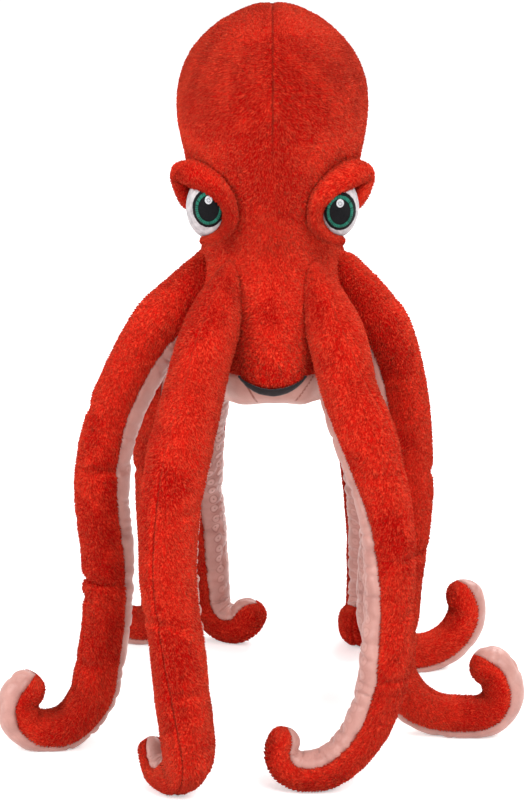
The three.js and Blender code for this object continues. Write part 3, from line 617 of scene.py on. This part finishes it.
def pale_satin_finish():
    """Pinkish satin with two staggered rows of printed sucker rings. Its UV map is in tenths of
    a metre: across the strip in U, down it in V."""
    material, tree, cloth = new_satin("pale_satin", 0.42, colour(200, 147, 136), colour(168, 116, 107))
    where, u, v = uv_place(tree, "print")
    wobble = maths(tree, "MULTIPLY_ADD", noise_at(tree, where, 14.0), 0.9, -0.45)
    x = maths(tree, "ADD", times(tree, u, 100.0), wobble)
    y = maths(tree, "SUBTRACT", times(tree, v, 100.0), wobble)
    off_row = []
    for offset, start in ((-RING_ASIDE, 0.0), (RING_ASIDE, RING_HALF_GAP)):
        sideways = maths(tree, "SUBTRACT", x, offset)
        down = maths(tree, "PINGPONG", maths(tree, "ADD", y, start), RING_HALF_GAP)
        squares = maths(tree, "ADD", times(tree, sideways, sideways), times(tree, down, down))
        off_row.append(maths(tree, "SQRT", squares))
    away = maths(tree, "MINIMUM", *off_row)
    # ink: how strongly the print shows, lowered by painted highlight on some arms and towards the tips
    ink = attribute(tree, "ink")
    inside = fading(tree, 3.6, 1.4, away)
    line = fading(tree, 1.0, 2.4, off_from(tree, away, RING_RADIUS))
    dot = fading(tree, 1.3, 1.6, away)
    tint = cloth["Colour"]
    for shape, strength, laid_on in (
            (inside, 0.45, colour(240, 200, 190)), (line, 0.75, colour(140, 82, 76)),
            (dot, 0.8, colour(118, 62, 60))):
        tint = mixed(tree, times(tree, times(tree, shape, strength), ink), tint, laid_on)
    return dressed(material, tint, cloth["Height"], 0.25, 0.0003)


def belly_finish():
    """The same satin with a sewn outline, marked on the mesh."""
    material, tree, cloth = new_satin("belly_satin", 0.45, colour(206, 156, 144), colour(178, 128, 117))
    line = fading(tree, 1.7, 2.2, attribute(tree, "off_line"))
    tint = mixed(tree, times(tree, line, 0.9), cloth["Colour"], colour(132, 52, 24))
    return dressed(material, tint, cloth["Height"], 0.25, 0.0003)


def plain_cloth_finish(name, tint, dark, roughness, patch, fibre):
    material, tree = new_finish(name, roughness, Sheen_Weight=0.25, Sheen_Roughness=0.5,
                                Specular_IOR_Level=0.3)
    cloth = use_group(tree, mottle, Colour=tint, Dark=dark, Patch=patch, Fibre=fibre)
    return dressed(material, cloth["Colour"], cloth["Height"], 0.6, 0.0005)


def thread_finish(name, tint, dark, count, roughness, swirl=False):
    """Satin stitches, with a swirl of darker thread where that is asked for."""
    material, tree = new_finish(name, roughness, Specular_IOR_Level=0.15)
    thread = use_group(tree, stitches, Colour=tint, Dark=dark, Stitches=count)
    shown = thread["Colour"]
    if swirl:
        _, u, v = uv_place(tree, "stitches")
        winding = maths(tree, "MULTIPLY_ADD", u, -0.25, v)
        gap = fading(tree, 1.0, 8.0, off_from(tree, winding, 0.3))
        shown = mixed(tree, gap, shown, colour(92, 94, 104))
    return dressed(material, shown, thread["Height"], 0.6, 0.0003)


def hard_finish(name, tint, dark, roughness, metallic):
    """A coat with slight wear, for the wires and the hub inside."""
    material, tree = new_finish(name, roughness, Metallic=metallic)
    wear = noise_at(tree, object_place(tree), 300.0, 4.0, 0.6)
    return dressed(material, mixed(tree, wear, dark, tint), wear, 0.1, 0.0002)


red_plush = red_plush_finish()
pale_satin = pale_satin_finish()
belly_satin = belly_finish()
white_cloth = plain_cloth_finish("white_cloth", colour(222, 215, 216), colour(140, 134, 138),
                                 0.8, 300.0, 1100.0)
black_felt = plain_cloth_finish("black_felt", colour(34, 26, 29), colour(14, 11, 12), 0.95, 200.0, 1200.0)
black_thread = thread_finish("black_thread", colour(20, 20, 24), colour(2, 2, 4), 90.0, 0.7)
green_thread = thread_finish("green_thread", colour(42, 132, 110), colour(0, 26, 22), 44.0, 0.6)
white_thread = thread_finish("white_thread", colour(240, 240, 242), colour(170, 172, 178), 26.0, 0.5,
                             swirl=True)
coated_wire = hard_finish("coated_wire", colour(70, 73, 77), colour(40, 42, 45), 0.45, 0.4)
hub_plastic = hard_finish("hub_plastic", colour(50, 53, 57), colour(34, 36, 39), 0.6, 0.0)


# Head and body, one plush skin

outline, outline_at = curve_through(OUTLINE, 0.4)
crown_at = outline_at[np.argmax(outline[:, 0] >= 0)]
keep = (outline_at >= crown_at) & (outline[:, 0] >= -0.4)
outline, outline_at = outline[keep], outline_at[keep] - crown_at
outline[0, 0] = outline[-1, 0] = 0
slopes = np.gradient(outline, outline_at, axis=0)
outline_out = unit(stack(-slopes[:, 1], slopes[:, 0]))
under_at = outline_at[-1]


def radius_at(distance):
    return np.interp(distance, outline_at, outline[:, 0])


def at_height(height, values):
    """The outline's values read off at a height."""
    return np.interp(-height, -outline[:, 1], values)


HEM_AT = at_height(HEM, outline_at)


def bib_swell(turn, height):
    near = np.clip(1 - (turn / BIB_HALF) ** 2, 0, None) ** 2
    lower = np.clip((NECK - height) / (NECK - UNDERSIDE) / 0.8, 0, 1)
    return BIB_DEEP * near * lower


def hem_height(turn):
    """The bib's curved hem in front, level behind."""
    wide = np.clip(np.abs(turn) / 20, 0, 1)
    return 204.2 + 6.6 * wide ** 2 - 5.0 * ease(np.abs(turn), 24, 60)


def eye_near(points):
    """How close points lie to either eye's ball, 1 on its surface."""
    return np.minimum(*(np.linalg.norm((points - eye_middle(side)) / EYE_HALF, axis=1) for side in (-1, 1)))


def trunk_point(turn, distance, inset):
    """Points of the head and body skin at an azimuth and a distance down the outline."""
    radius, height = along(distance, outline_at, outline).T
    out = along(distance, outline_at, outline_out)
    swell = bib_swell(turn, height) * np.clip(radius / BODY_WIDE, 0, 1)
    wide = radius + swell - inset * out[:, 0]
    spot = outwards(turn) * wide[:, None] + AXIS
    spot[:, 2] = height - inset * out[:, 1]
    return spot


def skin_place(turn, row):
    """Above row zero the cloth that shows, below it the cloth turned in under the hem."""
    shown = np.minimum(row, 0) + HEM_AT
    hem_shift = at_height(hem_height(turn), outline_at) - HEM_AT
    shown = shown + hem_shift * ease(shown, HEM_AT - 30, HEM_AT)
    rest = under_at - HEM_AT - hem_shift
    tucked = HEM_AT + hem_shift + np.maximum(row, 0) / (under_at - HEM_AT) * rest
    distance = np.where(row > 0, tucked, shown)
    spot = trunk_point(turn, distance, 0)
    inset = 1.0 + 2.6 * ease(row, 0.0, 1.6)
    away = np.abs(spot[:, 0] - AXIS[0])
    inset += 0.5 * bell(away / 0.9) * ease(spot[:, 2], 290, 330)
    inset += 2.5 * (1 - ease(eye_near(spot), 0.85, 1.2))
    inset -= 0.7 * lumps(spot, 26, 3) + 0.4 * lumps(spot, 11, 4)
    inset = np.minimum(inset, radius_at(distance) * 0.7 + 1.0)
    points = trunk_point(turn, distance, inset)
    inner = np.zeros_like(points) + AXIS
    inner[:, 2] = np.clip(points[:, 2], 215, 375)
    return points, inner


def skin_nap(turn, row, points):
    away = points[:, 0] - AXIS[0]
    rear = ease(points[:, 1], AXIS[1], AXIS[1] + 20)
    return unit(stack(np.tanh(away / 14) * 0.9, rear * 0.5, np.full(len(away), -0.8)))


def skin_coat(turn, row, points):
    away = np.abs(points[:, 0] - AXIS[0])
    radius = np.hypot(points[:, 0] - AXIS[0], points[:, 1] - AXIS[1])
    height = 1.1 - 0.5 * bell(away) * ease(points[:, 2], 268, 310)
    height *= ease(radius, 1, 9) * (row < 0.4) * ease(eye_near(points), 0.95, 1.15)
    return height


def skin_seam_shade(turn, row, points):
    away = np.abs(points[:, 0] - AXIS[0])
    # Painted shade along the groove of the head's middle seam
    drawn = 0.5 * bell(away / 0.6) * ease(points[:, 2], 300, 345)
    return drawn * (0.75 + 0.25 * lumps(points, 4, 17))


def skin_strokes(turn, row):
    lean = 0.35 * (1 - ease(row, -190, -125))
    return np.radians(turn) * BODY_WIDE - np.sign(turn) * lean * row, row


skin_columns = np.linspace(-180, 180, int(300 / tuft) + 1)
skin_rows = np.concatenate([
    np.arange(-HEM_AT, -0.6, 1.25 * tuft), [0.0], np.linspace(0.5, 3, 5),
    np.linspace(6, under_at - HEM_AT, 12),
])
head_and_body = plush("head_and_body_plush", skin_columns, skin_rows, skin_place, skin_nap, skin_coat,
                      skin_seam_shade, skin_strokes, 11)
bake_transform(head_and_body)
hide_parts("mantle_left", "mantle_right", "head_filling", "body_skin", "body_filling")


# Belly under the bib, and the mouth in its hem

# Lines sewn on the belly, aside from the axis and up
SEWN_LINES = np.array([[(-15.5, 209), (-12, 203), (-8, 195)], [(22, 209.5), (17.5, 203.5), (12, 195.5)]])


def segment_distance(points, start, end):
    run = end - start
    share = np.clip(((points - start) @ run) / (run @ run), 0, 1)
    return np.linalg.norm(points - start - share[:, None] * run, axis=1)


def make_belly():
    across, down = int(260 / tuft), 34
    mesh, column, row = grid_mesh("belly_satin", across, down, True, (False, True), False)
    turn = column / across * 360 - 180
    start = at_height(hem_height(turn), outline_at) - 2.2
    share = row / down
    distance = start + (under_at - start) * (0.55 * share + 0.45 * share ** 2)
    rough = trunk_point(turn, distance, 0)
    tuck = 2.0 * (1 - ease(distance - start, 0.5, 5))
    inset = 0.7 + tuck + 0.35 * lumps(rough, 9, 8)
    inset = np.minimum(inset, radius_at(distance) * 0.7 + 0.5)
    points = trunk_point(turn, distance, inset)
    beside = ease(np.abs(turn), 4, 34) * (1 - ease(np.abs(turn), 60, 90))
    points[:, 2] -= 3.4 * beside * ease(distance - start, 2, 12) * (1 - ease(distance - start, 26, 40))
    turned_out(mesh, points, AXIS + (0, 0, 230))
    front = stack(points[:, 0] - AXIS[0], points[:, 2])
    nearest = np.full(len(points), 9.0)
    for line in SEWN_LINES:
        for first, second in zip(line, line[1:]):
            nearest = np.minimum(nearest, segment_distance(front, first, second))
    write_attribute(mesh, "off_line", np.where(points[:, 1] < AXIS[1], nearest, 9))
    belly = finished("belly_satin", mesh, points, belly_satin, "pale_satin")
    thicken(belly, 0.9)
    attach(belly, "trunk")
    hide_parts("belly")


def make_mouth():
    across, down = 60, 8
    mesh, column, row = grid_mesh("mouth_felt", across, down, False, (False, False), False)
    place = column / across * 2 - 1
    share = row / down
    turn = place * MOUTH_HALF
    tall = np.maximum(0.12, dome(place)) * MOUTH_TALL
    height = hem_height(turn) + 0.6 - tall * share
    swell = bib_swell(turn, np.full(len(turn), HEM))
    lift = 0.7 + 0.5 * np.sin(np.pi * np.clip(share, 0, 1))
    spot = outwards(turn) * (at_height(height, outline[:, 0]) + swell + lift)[:, None] + AXIS
    spot[:, 2] = height
    spot += 0.12 * lumps(spot, 1.6, 5)[:, None]
    turned_out(mesh, spot, AXIS + (0, 0, HEM))
    mouth = finished("mouth_felt", mesh, spot, black_felt, "black_felt")
    thicken(mouth, 1.0)
    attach(mouth, "trunk")
    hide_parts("mouth")


make_belly()
make_mouth()


# Eyes and brows

def make_eye_ball(side, word):
    across, down = 48, 28
    name = f"{word}_eye_ball_cloth"
    mesh, column, row = grid_mesh(name, across, down, True, (True, True), False)
    turn = column / across * 2 * np.pi
    tilt = row / down * np.pi
    ball = stack(np.sin(tilt) * np.cos(turn), np.sin(tilt) * np.sin(turn), np.cos(tilt))
    points = eye_middle(side) + ball * EYE_HALF
    points += unit(ball) * (0.25 * lumps(points, 6, 21 + side))[:, None]
    radial = points - AXIS
    radius = np.hypot(radial[:, 0], radial[:, 1])
    least = at_height(points[:, 2], outline[:, 0]) - 2.5
    push = np.maximum(least / np.maximum(radius, 1), 1)
    points[:, :2] = AXIS[:2] + radial[:, :2] * push[:, None]
    turned_out(mesh, points, eye_middle(side))
    piece = finished(name, mesh, points, white_cloth, "white_cloth")
    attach(piece, "head")
    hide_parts(f"{word}_eye_ball")


def make_patch(side, node, material, slot, size, hole, rise, lift, seed):
    """An embroidered patch on the front of an eye, its thread running outwards."""
    across, down = 120, 10
    name = f"{node}_thread"
    mesh, column, row = grid_mesh(name, across, down, True, (not hole[0], False), False)
    turn = column / across * 2 * np.pi
    share = row / down
    jag = 1 + 0.018 * lumps(stack(np.cos(turn) * 9, np.sin(turn) * 9, 0 * turn), 0.9, seed)
    x_middle, z_middle = IRIS_MIDDLE[side]
    wide, high = ((inner + (outer * jag - inner) * share) / 2 for inner, outer in zip(hole, size))
    x = np.cos(turn) * wide + x_middle - side * EYE_ASIDE
    z = np.sin(turn) * high + z_middle - EYE_HEIGHT + rise
    bulge = np.sqrt(np.clip(1 - (x / EYE_HALF[0]) ** 2 - (z / EYE_HALF[2]) ** 2, 0.02, 1))
    pillow = 0.25 * np.sqrt(np.clip(4 * share * (1 - share) if hole[0] else 1 - share ** 2, 0, 1))
    points = eye_middle(side) + stack(x, -bulge * EYE_HALF[1] - lift - pillow, z)
    turned_out(mesh, points, eye_middle(side))
    write_uv(mesh, "stitches", stack(column / across, share), round_trip=True)
    piece = finished(name, mesh, points, material, slot)
    thicken(piece, 0.45)
    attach(piece, "head")
    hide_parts(node)


def make_brow(side, word):
    middle = eye_middle(side)
    inward, forward, up, radius = np.array(BROW).T * BROW_UNIT
    path = stack(middle[0] - side * inward, middle[1] - forward, middle[2] + up, radius)
    route, at = curve_through(path, 0.5)
    tangent = unit(np.gradient(route[:, :3], at, axis=0))
    length = at[-1]
    across = unit(np.cross(tangent, outwards(np.full(len(at), side * 40.0))))
    out = np.cross(tangent, across)
    ends = 2.4

    def place(turn, distance):
        centre = along(distance, at, route[:, :3])
        beyond = np.minimum(distance, 0)
        after = np.maximum(distance - length, 0)
        centre += tangent[:1] * beyond[:, None] + tangent[-1:] * after[:, None]
        radius = np.interp(distance, at, route[:, 3])
        cap = np.clip((np.abs(beyond) + after) / ends, 0, 1)
        radius = np.maximum(radius * dome(cap) - 0.5, 0.02)
        around = spokes(turn, along(distance, at, across), along(distance, at, out))
        points = centre + around * radius[:, None]
        points += around * (0.35 * lumps(points, 7, 31 + side))[:, None] * ease(radius, 0.5, 2)[:, None]
        return points, centre

    def nap(turn, distance, points):
        return along(distance, at, tangent)

    def coat(turn, distance, points):
        return 0.95 * ease(distance, -ends, 1) * ease(length + ends - distance, 0, 3)

    def seam(turn, distance, points):
        # No painted seam shade on the brows
        return np.zeros(len(turn))

    def strokes(turn, distance):
        return turn * 6 - 0.6 * distance, distance

    cap = ends * np.sin(np.linspace(0, np.pi / 2, 5)[1:])
    rows = np.concatenate([-cap[::-1], np.arange(0, length, 1.1 * tuft), [length], length + cap])
    columns = np.linspace(0, 2 * np.pi, int(38 / tuft) + 1)
    piece = plush(f"{word}_brow_plush", columns, rows, place, nap, coat, seam, strokes, 41 + side)
    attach(piece, "head")
    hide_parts(f"{word}_brow")


# Embroidered patches: node, material, slot, size, hole, rise, lift off the ball, seed
PATCHES = [
    ("iris_outline", black_thread, "black_thread", (16.8, 20.2), (0, 0), 0.0, 0.6, 51),
    ("iris_ring", green_thread, "green_thread", (14.0, 17.2), (10.9, 13.6), 0.0, 0.95, 52),
    ("eye_glint", white_thread, "white_thread", (3.9, 4.3), (0, 0), 4.6, 1.1, 53),
]

for side, word in ((-1, "left"), (1, "right")):
    make_eye_ball(side, word)
    for node, *details in PATCHES:
        make_patch(side, f"{word}_{node}", *details)
    make_brow(side, word)


# Arms: a stuffed tube with pile on its two red panels, and a satin strip laid in underneath

class Arm:
    """An arm's middle line with its radius, its red side and its side direction."""

    def __init__(self, name):
        self.name = name
        rows, at = curve_through(ROUTES[name])
        self.at = at
        self.length = at[-1]
        self.centre, self.radius = rows[:, :3], rows[:, 3]
        self.tangent = unit(np.gradient(self.centre, at, axis=0))
        facing = np.radians(rows[:, 4])
        side = stack(np.cos(facing), np.sin(facing), 0 * facing)
        side = unit(side - self.tangent * np.sum(side * self.tangent, axis=1, keepdims=True))
        self.red = np.cross(self.tangent, side)
        self.side = -side
        self.tip_long = self.radius[-1] * 0.95
        hip = AXIS + outwards(ARMS[name][0]) * HIP_OUT + (0, 0, HIP_HEIGHT)
        nearest = np.argmin(np.linalg.norm(self.centre - hip, axis=1))
        self.hip, self.hip_axis, self.hip_at = hip, self.tangent[nearest], at[nearest]

    def section(self, distance):
        """Centre, radius and the two directions at distances along the arm, tip included."""
        after = np.maximum(distance - self.length, 0)
        centre = along(distance, self.at, self.centre) + self.tangent[-1:] * after[:, None]
        radius = np.interp(distance, self.at, self.radius)
        radius = radius * dome(after / self.tip_long)
        radius = radius * dome(np.clip(1 - distance / 3, 0, 1))
        red, side = along(distance, self.at, self.red), along(distance, self.at, self.side)
        return centre, radius, unit(red), unit(side)

    def points(self, turn, distance, inset):
        centre, radius, red, side = self.section(distance)
        around = spokes(turn, red, side)
        rough = centre + around * radius[:, None]
        seed = 60 + sorted(ROUTES).index(self.name)
        fade = ease(distance, 10, 40)
        inset = inset - (0.75 * lumps(rough, 30, seed) + 0.3 * lumps(rough, 12, seed + 9)) * fade
        for height, azimuth, depth, reach, spread in DENTS[self.name]:
            facing = np.sum(around * outwards(azimuth), axis=1)
            toward = np.degrees(np.arccos(np.clip(facing, -1, 1)))
            dent = np.exp(-((rough[:, 2] - height) / reach) ** 2 - (toward / spread) ** 2)
            inset = inset + depth * dent * (distance < self.length * 0.8)
        wide = np.maximum(radius - inset, 0.02 + 0.1 * radius)
        points = centre + around * wide[:, None]
        points[:, 2] = np.maximum(points[:, 2], 0.35)
        return points, centre


def arm_rows(arm, step):
    cap_rows = max(int(arm.tip_long * 1.5 / step), 5)
    cap = arm.tip_long * np.sin(np.linspace(0, np.pi / 2, cap_rows)[1:])
    return np.concatenate([np.arange(0, arm.length - 0.4 * step, step), [arm.length], arm.length + cap])


def make_arm(arm, seed):
    columns = np.concatenate([
        np.linspace(-RED_HALF, RED_HALF, int(84 / tuft) + 1),
        [RED_HALF + SLIT], np.linspace(RED_HALF + SLIT * 2, 2 * np.pi - RED_HALF - SLIT * 2, 7),
        [2 * np.pi - RED_HALF - SLIT, 2 * np.pi - RED_HALF],
    ])

    def off_seams(turn, distance):
        """The angle off the outer seam, and the millimetres off it and off the satin's edge."""
        apart = np.abs(wrapped(turn))
        radius = np.interp(distance, arm.at, arm.radius)
        return apart, apart * radius, (RED_HALF - apart) * radius

    def place(turn, distance):
        apart, arc, edge = off_seams(turn, distance)
        bare = ease(apart, RED_HALF, RED_HALF + SLIT)
        from_here = SEAM_SHOWS.get(arm.name, 12)
        inset = 0.9 + 1.5 * bare + bell(arc / 1.2) * ease(distance, from_here, from_here + 24)
        inset += 0.8 * bell(edge / 1.4)
        return arm.points(turn, distance, inset)

    def nap(turn, distance, points):
        lean = along(distance, arm.at, arm.tangent)
        _, _, red, side = arm.section(distance)
        sideways = spokes(turn, side, -red)
        return lean + sideways * (0.45 * np.sin(turn))[:, None]

    def coat(turn, distance, points):
        apart, arc, _ = off_seams(turn, distance)
        height = (1.05 - 0.6 * bell(arc / 1.1)) * (apart < RED_HALF + 0.01)
        return height * ease(arm.length + arm.tip_long - distance, 0, 4) * ease(distance, 2, 8)

    def seam(turn, distance, points):
        # Painted shade along the groove of the outer seam and along the satin's edge
        _, arc, edge = off_seams(turn, distance)
        from_here = SEAM_SHOWS.get(arm.name, 14)
        drawn = bell(arc / 0.6) * ease(distance, from_here, from_here + 40)
        drawn = drawn * ease(arm.length - distance, 10, 40)
        return np.maximum(drawn * (0.6 + 0.2 * lumps(points, 4, 18)), 0.5 * bell(edge / 0.6))

    def strokes(turn, distance):
        signed = wrapped(turn)
        return signed * 13 - np.sign(signed) * 0.3 * distance, distance

    rows = arm_rows(arm, 1.3 * tuft)
    piece = plush(f"{arm.name}_plush", columns, rows, place, nap, coat, seam, strokes, seed)
    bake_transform(piece)
    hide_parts(f"{arm.name}_skin_left", f"{arm.name}_skin_right", f"{arm.name}_filling")
    make_strip(arm)


def make_strip(arm):
    """The satin strip: full in the middle, drawn in and puckered along both seams."""
    rows = arm_rows(arm, 1.2 * tuft)
    rows = rows[rows > arm.hip_at - 14][:-1]
    across, down = int(30 / tuft), len(rows) - 1
    mesh, column, row = grid_mesh(f"{arm.name}_satin", across, down, False, (False, False), False)
    share = column / across * 2 - 1
    distance = np.interp(row, np.arange(down + 1), rows)
    turn = np.pi + share * (np.pi - RED_HALF + SLIT / 2)
    radius = np.interp(distance, arm.at, arm.radius)
    arc = share * (np.pi - RED_HALF) * radius
    edge = (1 - np.abs(share)) * (np.pi - RED_HALF) * radius
    along_seam = stack(np.sign(share) * 40, distance, 0 * distance)
    pucker = lumps(along_seam, 3.6, 90) * bell(edge / 5)
    inset = 0.1 + 1.9 * bell(edge / 1.7) - 0.5 * np.cos(share * np.pi / 2) + pucker
    wrinkle = 1 - np.abs(lumps(stack(arc * 0.35, distance, 0 * arc), 5.2, 92))
    inset += 1.3 * wrinkle ** 7 * ease(distance, 20, 60)
    inset += 0.25 * lumps(stack(arc * 0.5, distance, 0 * arc), 5, 91)
    points, inner = arm.points(turn, distance, inset)
    turned_out(mesh, points, inner)
    write_uv(mesh, "print", stack(arc, distance) / 100)
    # Painted highlight: the print is washed out towards the tip, and more on some arms than others, with a
    # little random change
    print_under_highlight = 0.3 + 0.7 * ease(arm.length - distance, 20, 90)
    write_attribute(mesh, "ink", ARMS[arm.name][1] * print_under_highlight * (0.75 + 0.25 * lumps(points, 18, 95)))
    piece = finished(f"{arm.name}_satin", mesh, points, pale_satin, "pale_satin")
    thicken(piece, 0.7)
    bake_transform(piece)
    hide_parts(f"{arm.name}_underside")


for number, name in enumerate(ROUTES):
    make_arm(Arm(name), 101 + number)

for name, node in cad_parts.items():
    if name.endswith("_wire"):
        node.data.materials[0] = coated_wire
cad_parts["armature_hub"].data.materials[0] = hub_plastic


# Floor, light and camera

def make_floor():
    bm = bmesh.new()
    bmesh.ops.create_grid(bm, x_segments=2, y_segments=2, size=9)
    mesh = bpy.data.meshes.new("white_floor")
    bm.to_mesh(mesh)
    bm.free()
    floor = placed("white_floor", mesh)
    material, tree = new_finish("floor_paper", 1.0, Specular_IOR_Level=0.0)
    inputs = tree.nodes["Principled BSDF"].inputs
    inputs["Base Color"].default_value = (0.9, 0.9, 0.9, 1)
    inputs["Emission Color"].default_value = WHITE
    ray = new_node(tree, "ShaderNodeLightPath").outputs
    seen = maths(tree, "MAXIMUM", ray["Is Camera Ray"], ray["Is Glossy Ray"])
    tree.links.new(times(tree, seen, 0.46), inputs["Emission Strength"])
    mesh.materials.append(material)


def make_lamp(name, place, aim, wide, power):
    """A square lamp turned to the point aim metres above the origin."""
    data = bpy.data.lights.new(name, "AREA")
    data.energy, data.size = power, wide
    lamp = placed(name, data)
    lamp.location = place
    lamp.rotation_euler = (Vector((0, 0, aim)) - Vector(place)).to_track_quat("-Z", "Y").to_euler()


make_floor()
make_lamp("key_lamp", (0.9, -1.7, 2.1), 0.2, 1.3, 46)
make_lamp("left_lamp", (-2.0, -0.9, 1.1), 0.18, 1.2, 25)
make_lamp("rear_lamp", (0.8, 1.6, 1.8), 0.25, 1.2, 34)

world = bpy.data.worlds.new("studio")
bpy.context.scene.world = world
world.use_nodes = True
studio = world.node_tree
sky = studio.nodes["Background"].inputs
sky["Color"].default_value = WHITE
ray = new_node(studio, "ShaderNodeLightPath").outputs
shown = maths(studio, "MAXIMUM", ray["Is Glossy Ray"], ray["Is Transmission Ray"])
shown = maths(studio, "MAXIMUM", ray["Is Camera Ray"], shown)
studio.links.new(maths(studio, "MULTIPLY_ADD", shown, 0.34, 0.66), sky["Strength"])

# The camera stands where the photograph was taken from, and looks down by this many degrees
CAMERA_DOWN = 14.252
lens = bpy.data.cameras.new("camera")
lens.lens, lens.sensor_width, lens.sensor_fit, lens.clip_end = 119.546, 36, "AUTO", 100
camera = placed("camera", lens)
camera.location = (0.000819, -1.412276, 0.54)
camera.rotation_euler = (np.radians(90 - CAMERA_DOWN), 0, 0)
bpy.context.scene.camera = camera
bpy.context.scene.view_settings.view_transform = "Standard"
